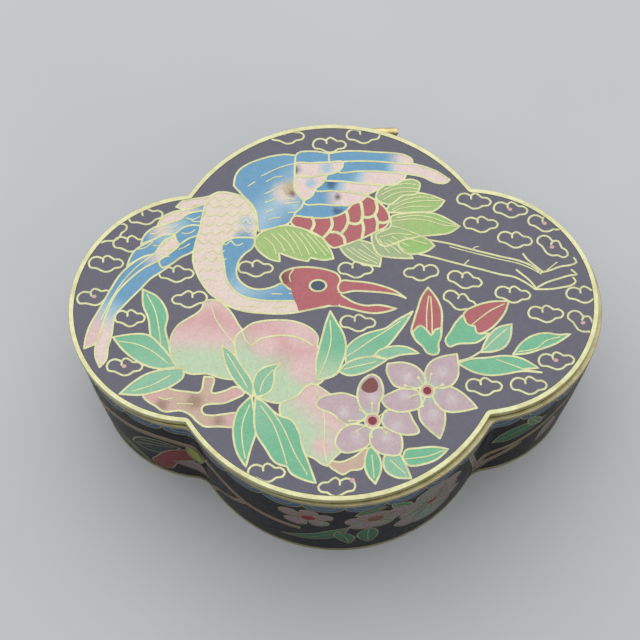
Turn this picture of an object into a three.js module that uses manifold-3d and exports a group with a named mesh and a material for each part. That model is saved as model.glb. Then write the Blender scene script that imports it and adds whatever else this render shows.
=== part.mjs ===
// A low cloisonne enamel box in the shape of an elongated quatrefoil, with a flat hinged lid.
// Millimetres, +Z up, +X along the box's long side. The front is -Y and the hinge is at the back, +Y.
// The origin is on the underside, at the middle of the whole box's outline.
import * as THREE from "three";
import { mergeVertices } from "three/addons/utils/BufferGeometryUtils.js";
import Module from "manifold-3d";

const wasm = await Module();
wasm.setup();

// ---- Driving dimensions ----

// The lid's outline is four circles joined: one at each end of X (side) and one at each end of Y (end).
const SIDE_LOBE = { reach: 27.6, radius: 25.4 };
const END_LOBE = { reach: 7.8, radius: 34.2 };
const LID_NOTCH_RADIUS = 0.5; // the rounding where two lobes of the lid meet
const BODY_NOTCH_RADIUS = 3.0; // the same on the body, which is rounder
const BODY_OVERSIZE = 0.15; // how far the body's mouth stands out beyond the lid's outline
const LID_SHIFT = { x: -0.7, y: 0.4 }; // the lid sits a little off the body's centre

const HEIGHT = 35.0; // underside of the foot to the top of the lid
const FOOT_HEIGHT = 1.0;
const FOOT_WIDTH = 1.5;
const LID_THICKNESS = 1.5;
const LID_RIM_WIDTH = 1.0;
const ENAMEL_STEP = 0.1; // the lid's enamel lies this far below its brass rim
const SEAM = 0.2; // open seam between the lid and the body
const BODY_RIM_HEIGHT = 1.0;
const WALL = 2.0;
const FLOOR = 2.0;
const FLOOR_FILLET = 3.0; // rounding inside, where the wall meets the floor
const BASE_INSET = 1.8; // how far the wall has drawn in at the foot
const TAPER_POWER = 1.6; // over 1, the wall is upright at the mouth and leans most at the foot
const SOLDER = 0.05; // soldered joint between two pieces

const HINGE = {
  left: -8.7, // left end of the barrel
  length: 22.8,
  y: 42.0, // pin axis, from the body's centre
  drop: 3.0, // pin axis below the top of the lid
  knuckleRadius: 1.0,
  boreRadius: 0.5,
  pinRadius: 0.42,
  pinProud: 0.3, // the pin stands out this far at each end
  gap: 0.3, // between neighbouring knuckles, and under the middle one
  leafFront: 41.3, // face of the fixed leaf towards the body
  leafBack: 42.3,
  leafDrop: 4.3, // lower edge of the fixed leaf, below the pin axis
  seatDepth: 40.7, // the wall is cut back to here behind the barrel
  tabFront: 41.2, // front and back of the moving leaf's tab, which is soldered to the lid
  tabBack: 42.15,
};

// Steps along each arc of the outline.
const LOBE_STEPS = 24;
const NOTCH_STEPS = 4;
const WALL_STEPS = 6;
const FILLET_STEPS = 3;
const ROUND_STEPS = 24; // round a knuckle or the pin
const BEYOND = 1; // a cutting solid reaches this far past what it cuts

// ---- Sizes that follow ----

const lidBottom = HEIGHT - LID_THICKNESS;
const mouth = lidBottom - SEAM; // top face of the body's rim
const wallTop = mouth - BODY_RIM_HEIGHT - SOLDER;
const wallBottom = FOOT_HEIGHT + SOLDER;
const hingeZ = HEIGHT - HINGE.drop;
const knuckleLength = (HINGE.length - 2 * HINGE.gap) / 3;
const lidHalfWidth = SIDE_LOBE.reach + SIDE_LOBE.radius;
const bodyHalfWidth = lidHalfWidth + BODY_OVERSIZE;
const bodyHalfDepth = END_LOBE.reach + END_LOBE.radius + BODY_OVERSIZE;
// Middle of the whole box's outline, from the body's centre.
const middle = {
  x: (bodyHalfWidth + LID_SHIFT.x - lidHalfWidth) / 2,
  y: (HINGE.y + HINGE.knuckleRadius - bodyHalfDepth) / 2,
};

// ---- Outline ----

// Points on an arc about a centre, from one angle to another, without the last one.
function arc(centre, radius, from, to, steps) {
  const points = [];
  for (let i = 0; i < steps; i++) {
    const angle = from + ((to - from) * i) / steps;
    points.push(
      new THREE.Vector2(centre.x + radius * Math.cos(angle), centre.y + radius * Math.sin(angle)),
    );
  }
  return points;
}

// The quatrefoil, drawn in by `inset` all round. The notches are rounded by circles that touch both
// lobes from outside, and grow as the lobes shrink, so that insets are parallel to each other.
function quatrefoil(inset, notchRadius, oversize) {
  const side = new THREE.Vector2(SIDE_LOBE.reach, 0);
  const end = new THREE.Vector2(0, END_LOBE.reach);
  const toSide = SIDE_LOBE.radius + oversize + notchRadius;
  const toEnd = END_LOBE.radius + oversize + notchRadius;
  // The notch circle's centre in the +X +Y quarter, by the two distances to the lobes' centres.
  const between = end.clone().sub(side);
  const apart = between.length();
  const along = (toSide ** 2 - toEnd ** 2 + apart ** 2) / (2 * apart);
  const off = Math.sqrt(toSide ** 2 - along ** 2);
  const unit = between.normalize();
  const notch = side
    .clone()
    .addScaledVector(unit, along)
    .add(new THREE.Vector2(unit.y, -unit.x).multiplyScalar(off));
  const sideTurn = notch.clone().sub(side).angle();
  const endTurn = notch.clone().sub(end).angle();
  const radii = { side: toSide - notchRadius - inset, end: toEnd - notchRadius - inset };
  const hollow = notchRadius + inset;
  const points = [];
  for (const half of [0, 1]) {
    const sign = half ? -1 : 1;
    const turn = half * Math.PI;
    const spin = (p) => new THREE.Vector2(sign * p.x, sign * p.y);
    const mirrored = new THREE.Vector2(-notch.x, notch.y);
    points.push(
      ...arc(spin(side), radii.side, turn - sideTurn, turn + sideTurn, LOBE_STEPS),
      ...arc(spin(notch), hollow, turn + sideTurn + Math.PI, turn + endTurn + Math.PI, NOTCH_STEPS),
      ...arc(spin(end), radii.end, turn + endTurn, turn + Math.PI - endTurn, LOBE_STEPS),
      ...arc(spin(mirrored), hollow, turn - endTurn, turn - sideTurn, NOTCH_STEPS),
    );
  }
  return points;
}

const lidOutline = (inset) => quatrefoil(inset, LID_NOTCH_RADIUS, 0);
const bodyOutline = (inset) => quatrefoil(inset, BODY_NOTCH_RADIUS, BODY_OVERSIZE);

// How far the wall has drawn in at a height.
function taper(z) {
  const down = (mouth - z) / mouth;
  return BASE_INSET * Math.max(down, 0) ** TAPER_POWER;
}

// ---- Solids ----

// A closed geometry through rings of equal length, each { z, points }. It is capped at both ends, or
// where `closed` is true its last ring joins the first one.
function loft(rings, closed) {
  const count = rings[0].points.length;
  const positions = rings.flatMap(({ z, points }) => points.flatMap((p) => [p.x, p.y, z]));
  const index = [];
  const bands = closed ? rings.length : rings.length - 1;
  for (let r = 0; r < bands; r++) {
    const low = r * count;
    const high = ((r + 1) % rings.length) * count;
    for (let i = 0; i < count; i++) {
      const j = (i + 1) % count;
      index.push(low + i, low + j, high + j, low + i, high + j, high + i);
    }
  }
  if (!closed) {
    const last = (rings.length - 1) * count;
    for (const [a, b, c] of THREE.ShapeUtils.triangulateShape(rings[0].points, [])) {
      index.push(a, c, b);
    }
    for (const [a, b, c] of THREE.ShapeUtils.triangulateShape(rings.at(-1).points, [])) {
      index.push(last + a, last + b, last + c);
    }
  }
  const geometry = new THREE.BufferGeometry();
  geometry.setAttribute("position", new THREE.Float32BufferAttribute(positions, 3));
  geometry.setIndex(index);
  return geometry;
}

// A flat strip of metal round an outline, from one height to another.
function strip(outline, outer, inner, low, high) {
  return loft(
    [
      { z: low, points: outline(outer) },
      { z: high, points: outline(outer) },
      { z: high, points: outline(inner) },
      { z: low, points: outline(inner) },
    ],
    true,
  );
}

function solidOf(geometry) {
  const bare = geometry.clone();
  bare.deleteAttribute("normal");
  bare.deleteAttribute("uv");
  const merged = mergeVertices(bare, 1e-4);
  return new wasm.Manifold(
    new wasm.Mesh({
      numProp: 3,
      vertProperties: new Float32Array(merged.attributes.position.array),
      triVerts: new Uint32Array(merged.index.array),
    }),
  );
}

function geometryOf(solid) {
  const mesh = solid.getMesh();
  const geometry = new THREE.BufferGeometry();
  geometry.setAttribute("position", new THREE.BufferAttribute(mesh.vertProperties, 3));
  geometry.setIndex(new THREE.BufferAttribute(mesh.triVerts, 1));
  return geometry;
}

function boxSolid(low, high) {
  const size = high.map((value, i) => value - low[i]);
  const centre = high.map((value, i) => (value + low[i]) / 2);
  return solidOf(new THREE.BoxGeometry(...size).translate(...centre));
}

// A round bar along X on the hinge's axis.
function barSolid(left, length, radius) {
  const bar = new THREE.CylinderGeometry(radius, radius, length, ROUND_STEPS);
  bar.rotateZ(Math.PI / 2);
  bar.translate(left + length / 2, HINGE.y, hingeZ);
  return solidOf(bar);
}

// ---- Body ----

// The recess in the back of the wall and its rim that takes the hinge's barrel and fixed leaf.
function hingeSeat(clearance) {
  const left = HINGE.left - HINGE.gap;
  const right = HINGE.left + HINGE.length + HINGE.gap;
  const back = bodyHalfDepth + BEYOND;
  const barrelFloor = hingeZ - HINGE.knuckleRadius - HINGE.gap;
  const leafFace = HINGE.leafFront - clearance;
  const leafFloor = hingeZ - HINGE.leafDrop - clearance;
  return boxSolid([left, HINGE.seatDepth, barrelFloor], [right, back, HEIGHT]).add(
    boxSolid([left, leafFace, leafFloor], [right, back, HEIGHT]),
  );
}

function bodyShell() {
  const rings = [];
  for (let i = 0; i <= WALL_STEPS; i++) {
    const z = wallBottom + ((wallTop - wallBottom) * i) / WALL_STEPS;
    rings.push({ z, points: bodyOutline(taper(z)) });
  }
  const floorTop = wallBottom + FLOOR;
  for (let i = 0; i < WALL_STEPS; i++) {
    const z = wallTop - ((wallTop - floorTop - FLOOR_FILLET) * i) / WALL_STEPS;
    rings.push({ z, points: bodyOutline(taper(z) + WALL) });
  }
  const filletInset = taper(floorTop + FLOOR_FILLET) + WALL;
  for (let i = 0; i <= FILLET_STEPS; i++) {
    const turn = ((Math.PI / 2) * i) / FILLET_STEPS;
    const z = floorTop + FLOOR_FILLET * (1 - Math.sin(turn));
    rings.push({ z, points: bodyOutline(filletInset + FLOOR_FILLET * (1 - Math.cos(turn))) });
  }
  return geometryOf(solidOf(loft(rings, false)).subtract(hingeSeat(2 * SOLDER)));
}

function bodyRim() {
  const ring = strip(bodyOutline, 0, WALL, wallTop + SOLDER, mouth);
  return geometryOf(solidOf(ring).subtract(hingeSeat(2 * SOLDER)));
}

function footRim() {
  const outer = taper(FOOT_HEIGHT);
  return strip(bodyOutline, outer, outer + FOOT_WIDTH, 0, FOOT_HEIGHT);
}

// ---- Hinge ----

// The hole through all the knuckles.
function boreSolid() {
  return barSolid(HINGE.left - BEYOND, HINGE.length + 2 * BEYOND, HINGE.boreRadius);
}

// The fixed leaf: a plate below the barrel with a solder fillet back to the curved wall, and the two
// outer knuckles standing on it.
function hingeLeafBody() {
  const right = HINGE.left + HINGE.length;
  const plateTop = hingeZ - HINGE.knuckleRadius - HINGE.gap;
  const plateBottom = hingeZ - HINGE.leafDrop;
  const wall = solidOf(
    loft(
      [
        { z: plateBottom - BEYOND, points: bodyOutline(-2 * SOLDER) },
        { z: plateTop + BEYOND, points: bodyOutline(-2 * SOLDER) },
      ],
      false,
    ),
  ).subtract(hingeSeat(0));
  const deepest = HINGE.seatDepth - WALL;
  let leaf = boxSolid([HINGE.left, deepest, plateBottom], [right, HINGE.leafBack, plateTop]);
  leaf = leaf.subtract(wall);
  for (const left of [HINGE.left, right - knuckleLength]) {
    const foot = [left, HINGE.leafFront, plateTop - SOLDER];
    leaf = leaf
      .add(boxSolid(foot, [left + knuckleLength, HINGE.leafBack, hingeZ]))
      .add(barSolid(left, knuckleLength, HINGE.knuckleRadius));
  }
  return geometryOf(leaf.subtract(boreSolid()));
}

// The moving leaf: the middle knuckle with a short tab up to the underside of the lid.
function hingeLeafLid() {
  const left = HINGE.left + knuckleLength + HINGE.gap;
  const tab = boxSolid(
    [left, HINGE.tabFront, hingeZ],
    [left + knuckleLength, HINGE.tabBack, lidBottom - SOLDER],
  );
  const knuckle = barSolid(left, knuckleLength, HINGE.knuckleRadius);
  return geometryOf(knuckle.add(tab).subtract(boreSolid()));
}

function hingePin() {
  const length = HINGE.length + 2 * HINGE.pinProud;
  return geometryOf(barSolid(HINGE.left - HINGE.pinProud, length, HINGE.pinRadius));
}

// ---- Lid ----

function lidPlate() {
  const edge = lidOutline(LID_RIM_WIDTH + SOLDER);
  return loft(
    [
      { z: lidBottom, points: edge },
      { z: HEIGHT - ENAMEL_STEP, points: edge },
    ],
    false,
  );
}

function lidRim() {
  return strip(lidOutline, 0, LID_RIM_WIDTH, lidBottom, HEIGHT);
}

// ---- Assembly ----

const ENAMEL_BLACK = { color: 0x15161a, roughness: 0.18, metalness: 0.0 };
const ENAMEL_FIELD = { color: 0x55545f, roughness: 0.3, metalness: 0.0 };
const BRASS_PALE = { color: 0xdad89a, roughness: 0.35, metalness: 1.0 };
const BRASS_DARK = { color: 0xb79f4e, roughness: 0.4, metalness: 1.0 };

function piece(name, geometry, finish) {
  const bare = geometry.toNonIndexed();
  bare.computeVertexNormals();
  const mesh = new THREE.Mesh(bare, new THREE.MeshStandardMaterial(finish));
  mesh.name = name;
  return mesh;
}

const body = new THREE.Group();
body.add(
  piece("body_shell", bodyShell(), ENAMEL_BLACK),
  piece("body_rim", bodyRim(), BRASS_PALE),
  piece("foot_rim", footRim(), BRASS_PALE),
  piece("hinge_leaf_body", hingeLeafBody(), BRASS_DARK),
  piece("hinge_leaf_lid", hingeLeafLid(), BRASS_DARK),
  piece("hinge_pin", hingePin(), BRASS_DARK),
);

const lid = new THREE.Group();
lid.position.set(LID_SHIFT.x, LID_SHIFT.y, 0);
lid.add(piece("lid_plate", lidPlate(), ENAMEL_FIELD), piece("lid_rim", lidRim(), BRASS_PALE));
body.add(lid);

const box = new THREE.Group();
body.position.set(-middle.x, -middle.y, 0);
box.add(body);

export default box;
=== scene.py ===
import math
import bmesh
import bpy
from mathutils import Matrix, Vector
from mathutils.geometry import delaunay_2d_cdt


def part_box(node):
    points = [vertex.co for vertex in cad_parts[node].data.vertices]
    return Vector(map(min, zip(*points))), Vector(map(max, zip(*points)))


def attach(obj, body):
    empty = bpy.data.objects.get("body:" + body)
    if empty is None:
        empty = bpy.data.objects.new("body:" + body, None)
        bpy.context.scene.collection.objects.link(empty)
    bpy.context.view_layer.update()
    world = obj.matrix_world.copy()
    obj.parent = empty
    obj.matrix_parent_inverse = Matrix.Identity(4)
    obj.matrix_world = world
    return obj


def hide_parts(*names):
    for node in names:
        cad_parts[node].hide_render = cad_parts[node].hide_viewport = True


# The looks of a low cloisonne enamel box: a quatrefoil box with a flat hinged lid. The pictures are
# drawn in millimetres, as cells of enamel with brass wires between them, and are then laid on the
# lid and the wall. Blender's own frame is in metres.

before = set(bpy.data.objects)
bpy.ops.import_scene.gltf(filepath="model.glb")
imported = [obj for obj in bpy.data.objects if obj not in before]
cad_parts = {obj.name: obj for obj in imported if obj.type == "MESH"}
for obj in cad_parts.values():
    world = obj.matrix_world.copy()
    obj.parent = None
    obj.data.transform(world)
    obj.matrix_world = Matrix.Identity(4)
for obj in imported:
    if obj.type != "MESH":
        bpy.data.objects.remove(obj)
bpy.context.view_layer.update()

MM = 0.001


def box_mm(node):
    """The lowest and highest corners of a CAD node, in millimetres."""
    low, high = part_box(node)
    return low / MM, high / MM


# ---- Sizes ----

# Four circles make the outline: one at each end of X (side) and one at each end of Y (end).
SIDE_REACH, SIDE_RADIUS = 27.6, 25.4
END_REACH, END_RADIUS = 7.8, 34.2
LID_NOTCH, BODY_NOTCH = 0.5, 3.0  # rounding radius where two lobes meet
BODY_OVERSIZE = 0.15
BASE_INSET, TAPER_POWER = 1.8, 1.6  # how the wall draws in towards the foot
WALL = 2.0
FLOOR_FILLET = 3.0
WIRE = 0.42  # width of a wire
FINE_WIRE = 0.26
VEIN_WIRE = 0.25
SCALE_WIRE = 0.65  # between the red scales
WIRE_PROUD = 0.05  # wires stand this far above the enamel
WIRE_DEEP = 0.04  # and reach this far into it
LINE_STEP = 0.8  # length of one straight stretch of a curved line
EDGE_ROUND = 0.12  # rounding of the rims' edges
EDGE_STEPS = 3
SLIVER = 2e-3  # triangles smaller than this are left out of a wire
MERGE = 1e-5  # points of a drawing closer than this are one
ON_EDGE = 1e-4  # a point this close to an edge is on it
WELD = 1e-7  # vertices closer than this, in metres, are one

lid_rim_low, lid_rim_high = box_mm("lid_rim")
lid_plate_low, lid_plate_high = box_mm("lid_plate")
body_rim_low, body_rim_high = box_mm("body_rim")
shell_low, shell_high = box_mm("body_shell")
foot_low, foot_high = box_mm("foot_rim")
leaf_low, leaf_high = box_mm("hinge_leaf_body")

LID_AT = (lid_rim_low + lid_rim_high) / 2
BODY_AT = (foot_low + foot_high) / 2
MOUTH = body_rim_high.z
WALL_LOW, WALL_HIGH = shell_low.z, shell_high.z
FLOOR_THICK = 2.0
FLOOR_TOP = WALL_LOW + FLOOR_THICK
RIM_WIDTH = 1.0
FOOT_WIDTH = 1.5

# The recess in the back of the wall that the hinge sits in, from the body's centre.
SEAT_SIDE_GAP, SEAT_FOOT_GAP = 0.3, 0.1
SEAT_LEFT = leaf_low.x - BODY_AT.x - SEAT_SIDE_GAP
SEAT_RIGHT = leaf_high.x - BODY_AT.x + SEAT_SIDE_GAP
SEAT_BARREL_Y, SEAT_BARREL_Z = 40.7, 30.6
SEAT_LEAF_Y, SEAT_LEAF_Z = 41.2, leaf_low.z - SEAT_FOOT_GAP

# ---- Colours ----

GLOSS_VEIL = 0.045  # light that the gloss adds over every colour
LIGHT_GAIN = 0.92
DARKEST = 0.004
TOUCH_CORE = 1.6  # how quickly a touch of colour reaches full strength
FADE_END = 0.9999  # keeps the last point of a fade in its last span


def linear(value):
    """A screen value from 0 to 255 as linear light."""
    value /= 255
    return value / 12.92 if value <= 0.04045 else ((value + 0.055) / 1.055) ** 2.4


def seen(red, green, blue):
    """The enamel colour that looks like this screen colour once the gloss lies over it."""
    return tuple(max((linear(v) - GLOSS_VEIL) / LIGHT_GAIN, DARKEST) for v in (red, green, blue))


# Colours of the lid, as they look.
# The lid's ground enamel, painted lighter and greyer than its dark enamel: partly a painted sheen
# of the overhead light's reflection.
GROUND_AND_SHEEN = seen(104, 103, 114)
BLUE = seen(110, 156, 186)
DEEP_BLUE = seen(88, 138, 174)
PALE_BLUE = seen(162, 190, 204)
DARK_BLUE = seen(70, 92, 124)
SHELL_PINK = seen(222, 203, 194)
CREAM = seen(222, 206, 190)
ROSE = seen(208, 166, 164)
PINK = seen(216, 186, 182)
RED = seen(176, 104, 108)
DARK_RED = seen(132, 66, 72)
TAIL_GREEN = seen(162, 188, 122)
TAIL_BRIGHT = seen(152, 188, 116)
TAIL_GREY = seen(160, 178, 138)
PEACH_GREEN = seen(184, 204, 172)
LEAF = seen(120, 182, 146)
LEAF_PALE = seen(142, 188, 158)
PETAL = seen(188, 168, 172)
PETAL_PALE = seen(200, 188, 190)
PETAL_MINT = seen(168, 196, 184)
BARK = seen(196, 170, 152)
BARK_DARK = seen(158, 132, 116)
BROWN = seen(128, 84, 78)
BEIGE = seen(188, 174, 142)
SPECK = seen(92, 84, 84)
SLATE = seen(78, 92, 108)
# Colours of the wall, in linear light. Its flowers, leaves and bark are darker copies of the lid's
# colours: painted shade of the sides, which face away from the overhead light.
NIGHT = (0.008, 0.008, 0.009)
YELLOW_GREEN = (0.22, 0.28, 0.05)
SCALLOP_BLUE = (0.045, 0.1, 0.19)
LEAF_WALL = (0.028, 0.11, 0.06)
LEAF_WALL_PALE = (0.06, 0.16, 0.09)
LEAF_NIGHT = (0.014, 0.035, 0.028)
WALL_RED = (0.16, 0.03, 0.03)
WALL_BROWN = (0.14, 0.06, 0.05)
WALL_PETAL = (0.21, 0.15, 0.16)
WALL_MINT = (0.15, 0.19, 0.15)
WALL_PINK = (0.22, 0.14, 0.12)
WALL_BARK = (0.2, 0.145, 0.105)
WALL_GOLD = (0.26, 0.18, 0.07)


def mix(a, b, share):
    """The colour that is this share of the way from one to another."""
    return tuple(p + (q - p) * share for p, q in zip(a, b))


def flat(colour):
    """A paint of one colour. A paint gives the colour at a point of the drawing."""
    return lambda x, y: colour


def fade(start, end, *colours):
    """Even change through the colours from one point to another."""
    dx, dy = end[0] - start[0], end[1] - start[1]
    steps = len(colours) - 1

    def paint(x, y):
        along = ((x - start[0]) * dx + (y - start[1]) * dy) / (dx * dx + dy * dy)
        place = min(max(along, 0), FADE_END) * steps
        index = int(place)
        return mix(colours[index], colours[index + 1], place - index)

    return paint


def touched(paint, *touches):
    """A paint with soft round touches of other colours, each (x, y, radius, colour)."""

    def touched_paint(x, y):
        colour = paint(x, y)
        for cx, cy, radius, other in touches:
            near = 1 - math.hypot(x - cx, y - cy) / radius
            if near > 0:
                colour = mix(colour, other, min(1, TOUCH_CORE * near))
        return colour

    return touched_paint


# ---- Lines ----


def flow(points, closed=False, step=LINE_STEP):
    """A flowing line through the points. A point given twice in a row is a sharp corner."""
    points = [tuple(p) for p in points]
    if closed:
        corner = next((i for i, p in enumerate(points) if p == points[i - 1]), None)
        if corner is not None:
            points = points[corner:] + points[:corner]
            closed = False
            points.append(points[0])
    stretches, current = [], [points[0]]
    for p in points[1:]:
        if p == current[-1]:
            if len(current) > 1:
                stretches.append(current)
            current = [p]
        else:
            current.append(p)
    if len(current) > 1:
        stretches.append(current)
    line = []
    for stretch in stretches:
        made = bend(stretch, closed, step)
        line += made if not line else made[1:]
    return line


def bend(points, closed, step):
    """One smooth stretch through the points."""
    count = len(points)
    spans = count if closed else count - 1

    def leg(i):
        a, b = points[i % count], points[(i + 1) % count]
        length = math.dist(a, b)
        return length, ((b[0] - a[0]) / length, (b[1] - a[1]) / length)

    def heading(i):
        if not closed and i == 0:
            return leg(0)[1]
        if not closed and i == count - 1:
            return leg(count - 2)[1]
        (before, u), (after, v) = leg(i - 1 + (count if closed else 0)), leg(i)
        total = before + after
        return tuple((p * after + q * before) / total for p, q in zip(u, v))

    line = []
    for i in range(spans):
        a, b = points[i], points[(i + 1) % count]
        length = leg(i)[0]
        m, n = heading(i), heading((i + 1) % count if closed else i + 1)
        steps = max(1, math.ceil(length / step))
        for k in range(steps):
            t = k / steps
            h = (2 * t**3 - 3 * t**2 + 1, t**3 - 2 * t**2 + t, 3 * t**2 - 2 * t**3, t**3 - t**2)
            line.append(tuple(
                h[0] * a[j] + h[1] * length * m[j] + h[2] * b[j] + h[3] * length * n[j]
                for j in (0, 1)
            ))
    line.append(points[0] if closed else points[-1])
    return line


def twice_area(points):
    return sum(points[i - 1][0] * p[1] - p[0] * points[i - 1][1] for i, p in enumerate(points))


def ring(x, y, rx, ry=None, count=16):
    """The points of a circle or an ellipse."""
    ry = ry or rx
    turns = [k * math.tau / count for k in range(count)]
    return [(x + rx * math.cos(a), y + ry * math.sin(a)) for a in turns]


# ---- Drawing ----


class Drawing:
    """Enamel cells and wires in millimetres on a flat sheet. Later ones cover earlier ones."""

    def __init__(self, sheet, paint):
        self.points, self.faces, self.paints, self.extents = [], [], [], []
        self.shape(sheet, paint)

    def shape(self, outline, paint):
        """A plain area with no wire. A paint of None is wire metal."""
        if twice_area(outline) < 0:
            outline = outline[::-1]
        first = len(self.points)
        self.points += [Vector(p) for p in outline]
        self.faces.append(tuple(range(first, len(self.points))))
        self.paints.append(paint)
        xs, ys = [p[0] for p in outline], [p[1] for p in outline]
        self.extents.append((min(xs), max(xs), min(ys), max(ys)))

    def holds(self, face, point):
        """Whether a point is within the bounds of a shape."""
        left, right, low, high = self.extents[face]
        return left <= point[0] <= right and low <= point[1] <= high

    def wire(self, line, width=WIRE):
        """A wire along a line of points, with round ends."""
        sides = []
        for i, (x, y) in enumerate(line):
            a, b = line[max(i - 1, 0)], line[min(i + 1, len(line) - 1)]
            length = math.dist(a, b) or 1
            nx, ny = (a[1] - b[1]) / length * width / 2, (b[0] - a[0]) / length * width / 2
            sides.append(((x + nx, y + ny), (x - nx, y - ny)))
        for (a, b), (c, d) in zip(sides, sides[1:]):
            for corner in ((a, b, d), (a, d, c)):
                if abs(twice_area(corner)) > SLIVER:
                    self.shape(list(corner), None)
        for end in (line[0], line[-1]):
            self.shape(ring(*end, width / 2, count=8), None)

    def path(self, points, width=WIRE):
        """A flowing wire through the points."""
        self.wire(flow(points), width)

    def paths(self, *lines, width=FINE_WIRE):
        """A wire through the points of each line."""
        for points in lines:
            self.path(points, width)

    def patch(self, points, paint):
        """A closed area of one paint without a wire."""
        self.shape(flow(points, closed=True)[:-1], paint)

    def cell(self, points, paint, width=WIRE):
        """A closed area of one paint with a wire round it."""
        line = flow(points, closed=True)
        self.shape(line[:-1], paint)
        self.wire(line, width)

    def dot(self, x, y, radius, paint, width=FINE_WIRE):
        """A round spot with a wire round it."""
        line = ring(x, y, radius, count=12)
        self.shape(line, paint)
        self.wire(line + line[:1], width)

    def mesh(self, grid):
        """The vertices, each triangle with its paint, and the paint below it where it is a wire."""
        points = self.points + grid
        made = delaunay_2d_cdt(points, [], self.faces, 0, MERGE, True)
        cells, under = [], []
        for triangle, faces in zip(made[2], made[5]):
            middle = sum((made[0][i] for i in triangle), Vector((0, 0))) / 3
            owners = [o for o in faces if self.holds(o, middle)]
            if 0 in owners:
                cells.append((triangle, self.paints[max(owners)]))
                under.append(self.paints[max(o for o in owners if self.paints[o])])
        return made[0], cells, under


def lattice(x0, x1, y0, y1, step):
    """Points in staggered rows."""
    rows = math.ceil((y1 - y0) / step)
    columns = math.ceil((x1 - x0) / step)
    return [
        Vector((x0 + (i + 0.5 * (j % 2)) * step, y0 + j * step))
        for j in range(rows)
        for i in range(columns)
    ]


# ---- Outline of the box ----


class Outline:
    """The quatrefoil, counter-clockwise from the middle of the front, with its parallels."""

    def __init__(self, notch, oversize):
        to_side = SIDE_RADIUS + oversize + notch
        to_end = END_RADIUS + oversize + notch
        apart = math.hypot(SIDE_REACH, END_REACH)
        along = (to_side**2 - to_end**2 + apart**2) / (2 * apart)
        off = math.sqrt(to_side**2 - along**2)
        ux, uy = -SIDE_REACH / apart, END_REACH / apart
        nx, ny = SIDE_REACH + ux * along + uy * off, uy * along - ux * off
        side_turn = math.atan2(ny, nx - SIDE_REACH)
        end_turn = math.atan2(ny - END_REACH, nx)
        side, end, pi = SIDE_RADIUS + oversize, END_RADIUS + oversize, math.pi
        # Each arc: centre, radius, first and last angle, and 1 for a lobe or -1 for a notch.
        self.arcs = [
            ((0, -END_REACH), end, -pi / 2, -end_turn, 1),
            ((nx, -ny), notch, pi - end_turn, pi - side_turn, -1),
            ((SIDE_REACH, 0), side, -side_turn, side_turn, 1),
            ((nx, ny), notch, pi + side_turn, pi + end_turn, -1),
            ((0, END_REACH), end, end_turn, pi - end_turn, 1),
            ((-nx, ny), notch, -end_turn, -side_turn, -1),
            ((-SIDE_REACH, 0), side, pi - side_turn, pi + side_turn, 1),
            ((-nx, -ny), notch, side_turn, end_turn, -1),
            ((0, -END_REACH), end, pi + end_turn, 1.5 * pi, 1),
        ]
        self.lengths = [abs(b - a) * r for _, r, a, b, _ in self.arcs]
        self.length = sum(self.lengths)

    def at(self, along, inset=0):
        """The point at a distance along the outline, and the direction out of the box there."""
        along %= self.length
        for (centre, radius, start, stop, bulge), length in zip(self.arcs, self.lengths):
            if along <= length:
                break
            along -= length
        angle = start + (stop - start) * min(along / length, 1)
        reach = radius - bulge * inset
        cos, sin = math.cos(angle), math.sin(angle)
        return (centre[0] + reach * cos, centre[1] + reach * sin), (bulge * cos, bulge * sin)

    def stations(self, step):
        """Distances along the outline, with one at every join of two arcs."""
        found, start = [], 0
        for length in self.lengths:
            count = max(3, math.ceil(length / step))
            found += [start + length * k / count for k in range(count)]
            start += length
        return found

    def loop(self, inset, step=1.0):
        return [self.at(s, inset)[0] for s in self.stations(step)]


lid_outline = Outline(LID_NOTCH, 0)
body_outline = Outline(BODY_NOTCH, BODY_OVERSIZE)


def taper(z):
    """How far the wall has drawn in at a height."""
    return BASE_INSET * max((MOUTH - z) / MOUTH, 0) ** TAPER_POWER


def seated(x, y, z):
    """A point of the body's outside, moved in where the hinge's recess is cut into it."""
    if SEAT_LEFT < x < SEAT_RIGHT:
        if z > SEAT_BARREL_Z:
            y = min(y, SEAT_BARREL_Y)
        elif z > SEAT_LEAF_Z:
            y = min(y, SEAT_LEAF_Y)
    return x, y, z


# ---- The lid's picture ----
# A crane in flight over a peach branch with blossom, among small clouds. X is to the right and Y to
# the back, from the middle of the lid. In an outline, *tip(x, y) is a sharp corner.


def tip(x, y):
    """A sharp corner of an outline."""
    return (x, y), (x, y)


CLOUD = [(-0.7, 0.4), (-0.7, 1.2), (0.1, 1.8), (0.9, 1.4), (1.5, 0.9), (2.5, 0.9), (3.4, 0.0),
    (2.9, -0.9), (1.7, -1.1), (0.9, -1.7), (-0.3, -1.9), (-1.3, -1.4), (-2.1, -1.0), (-3.2, -0.8),
    (-3.6, 0.2), (-3.0, 1.3), (-1.9, 1.6), (-0.9, 1.2)]


def cloud(picture, x, y, turn=0.0, width=1.0, facing=1, red=False):
    """A small ruyi cloud: a wire that curls in at the top."""
    cos, sin = math.cos(math.radians(turn)), math.sin(math.radians(turn))
    line = [(facing * width * px, py) for px, py in CLOUD]
    picture.path([(x + px * cos - py * sin, y + px * sin + py * cos) for px, py in line])
    if red:
        picture.shape(ring(x - 0.2, y + 0.1, 0.5, 0.4, count=8), flat(ROSE))


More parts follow.
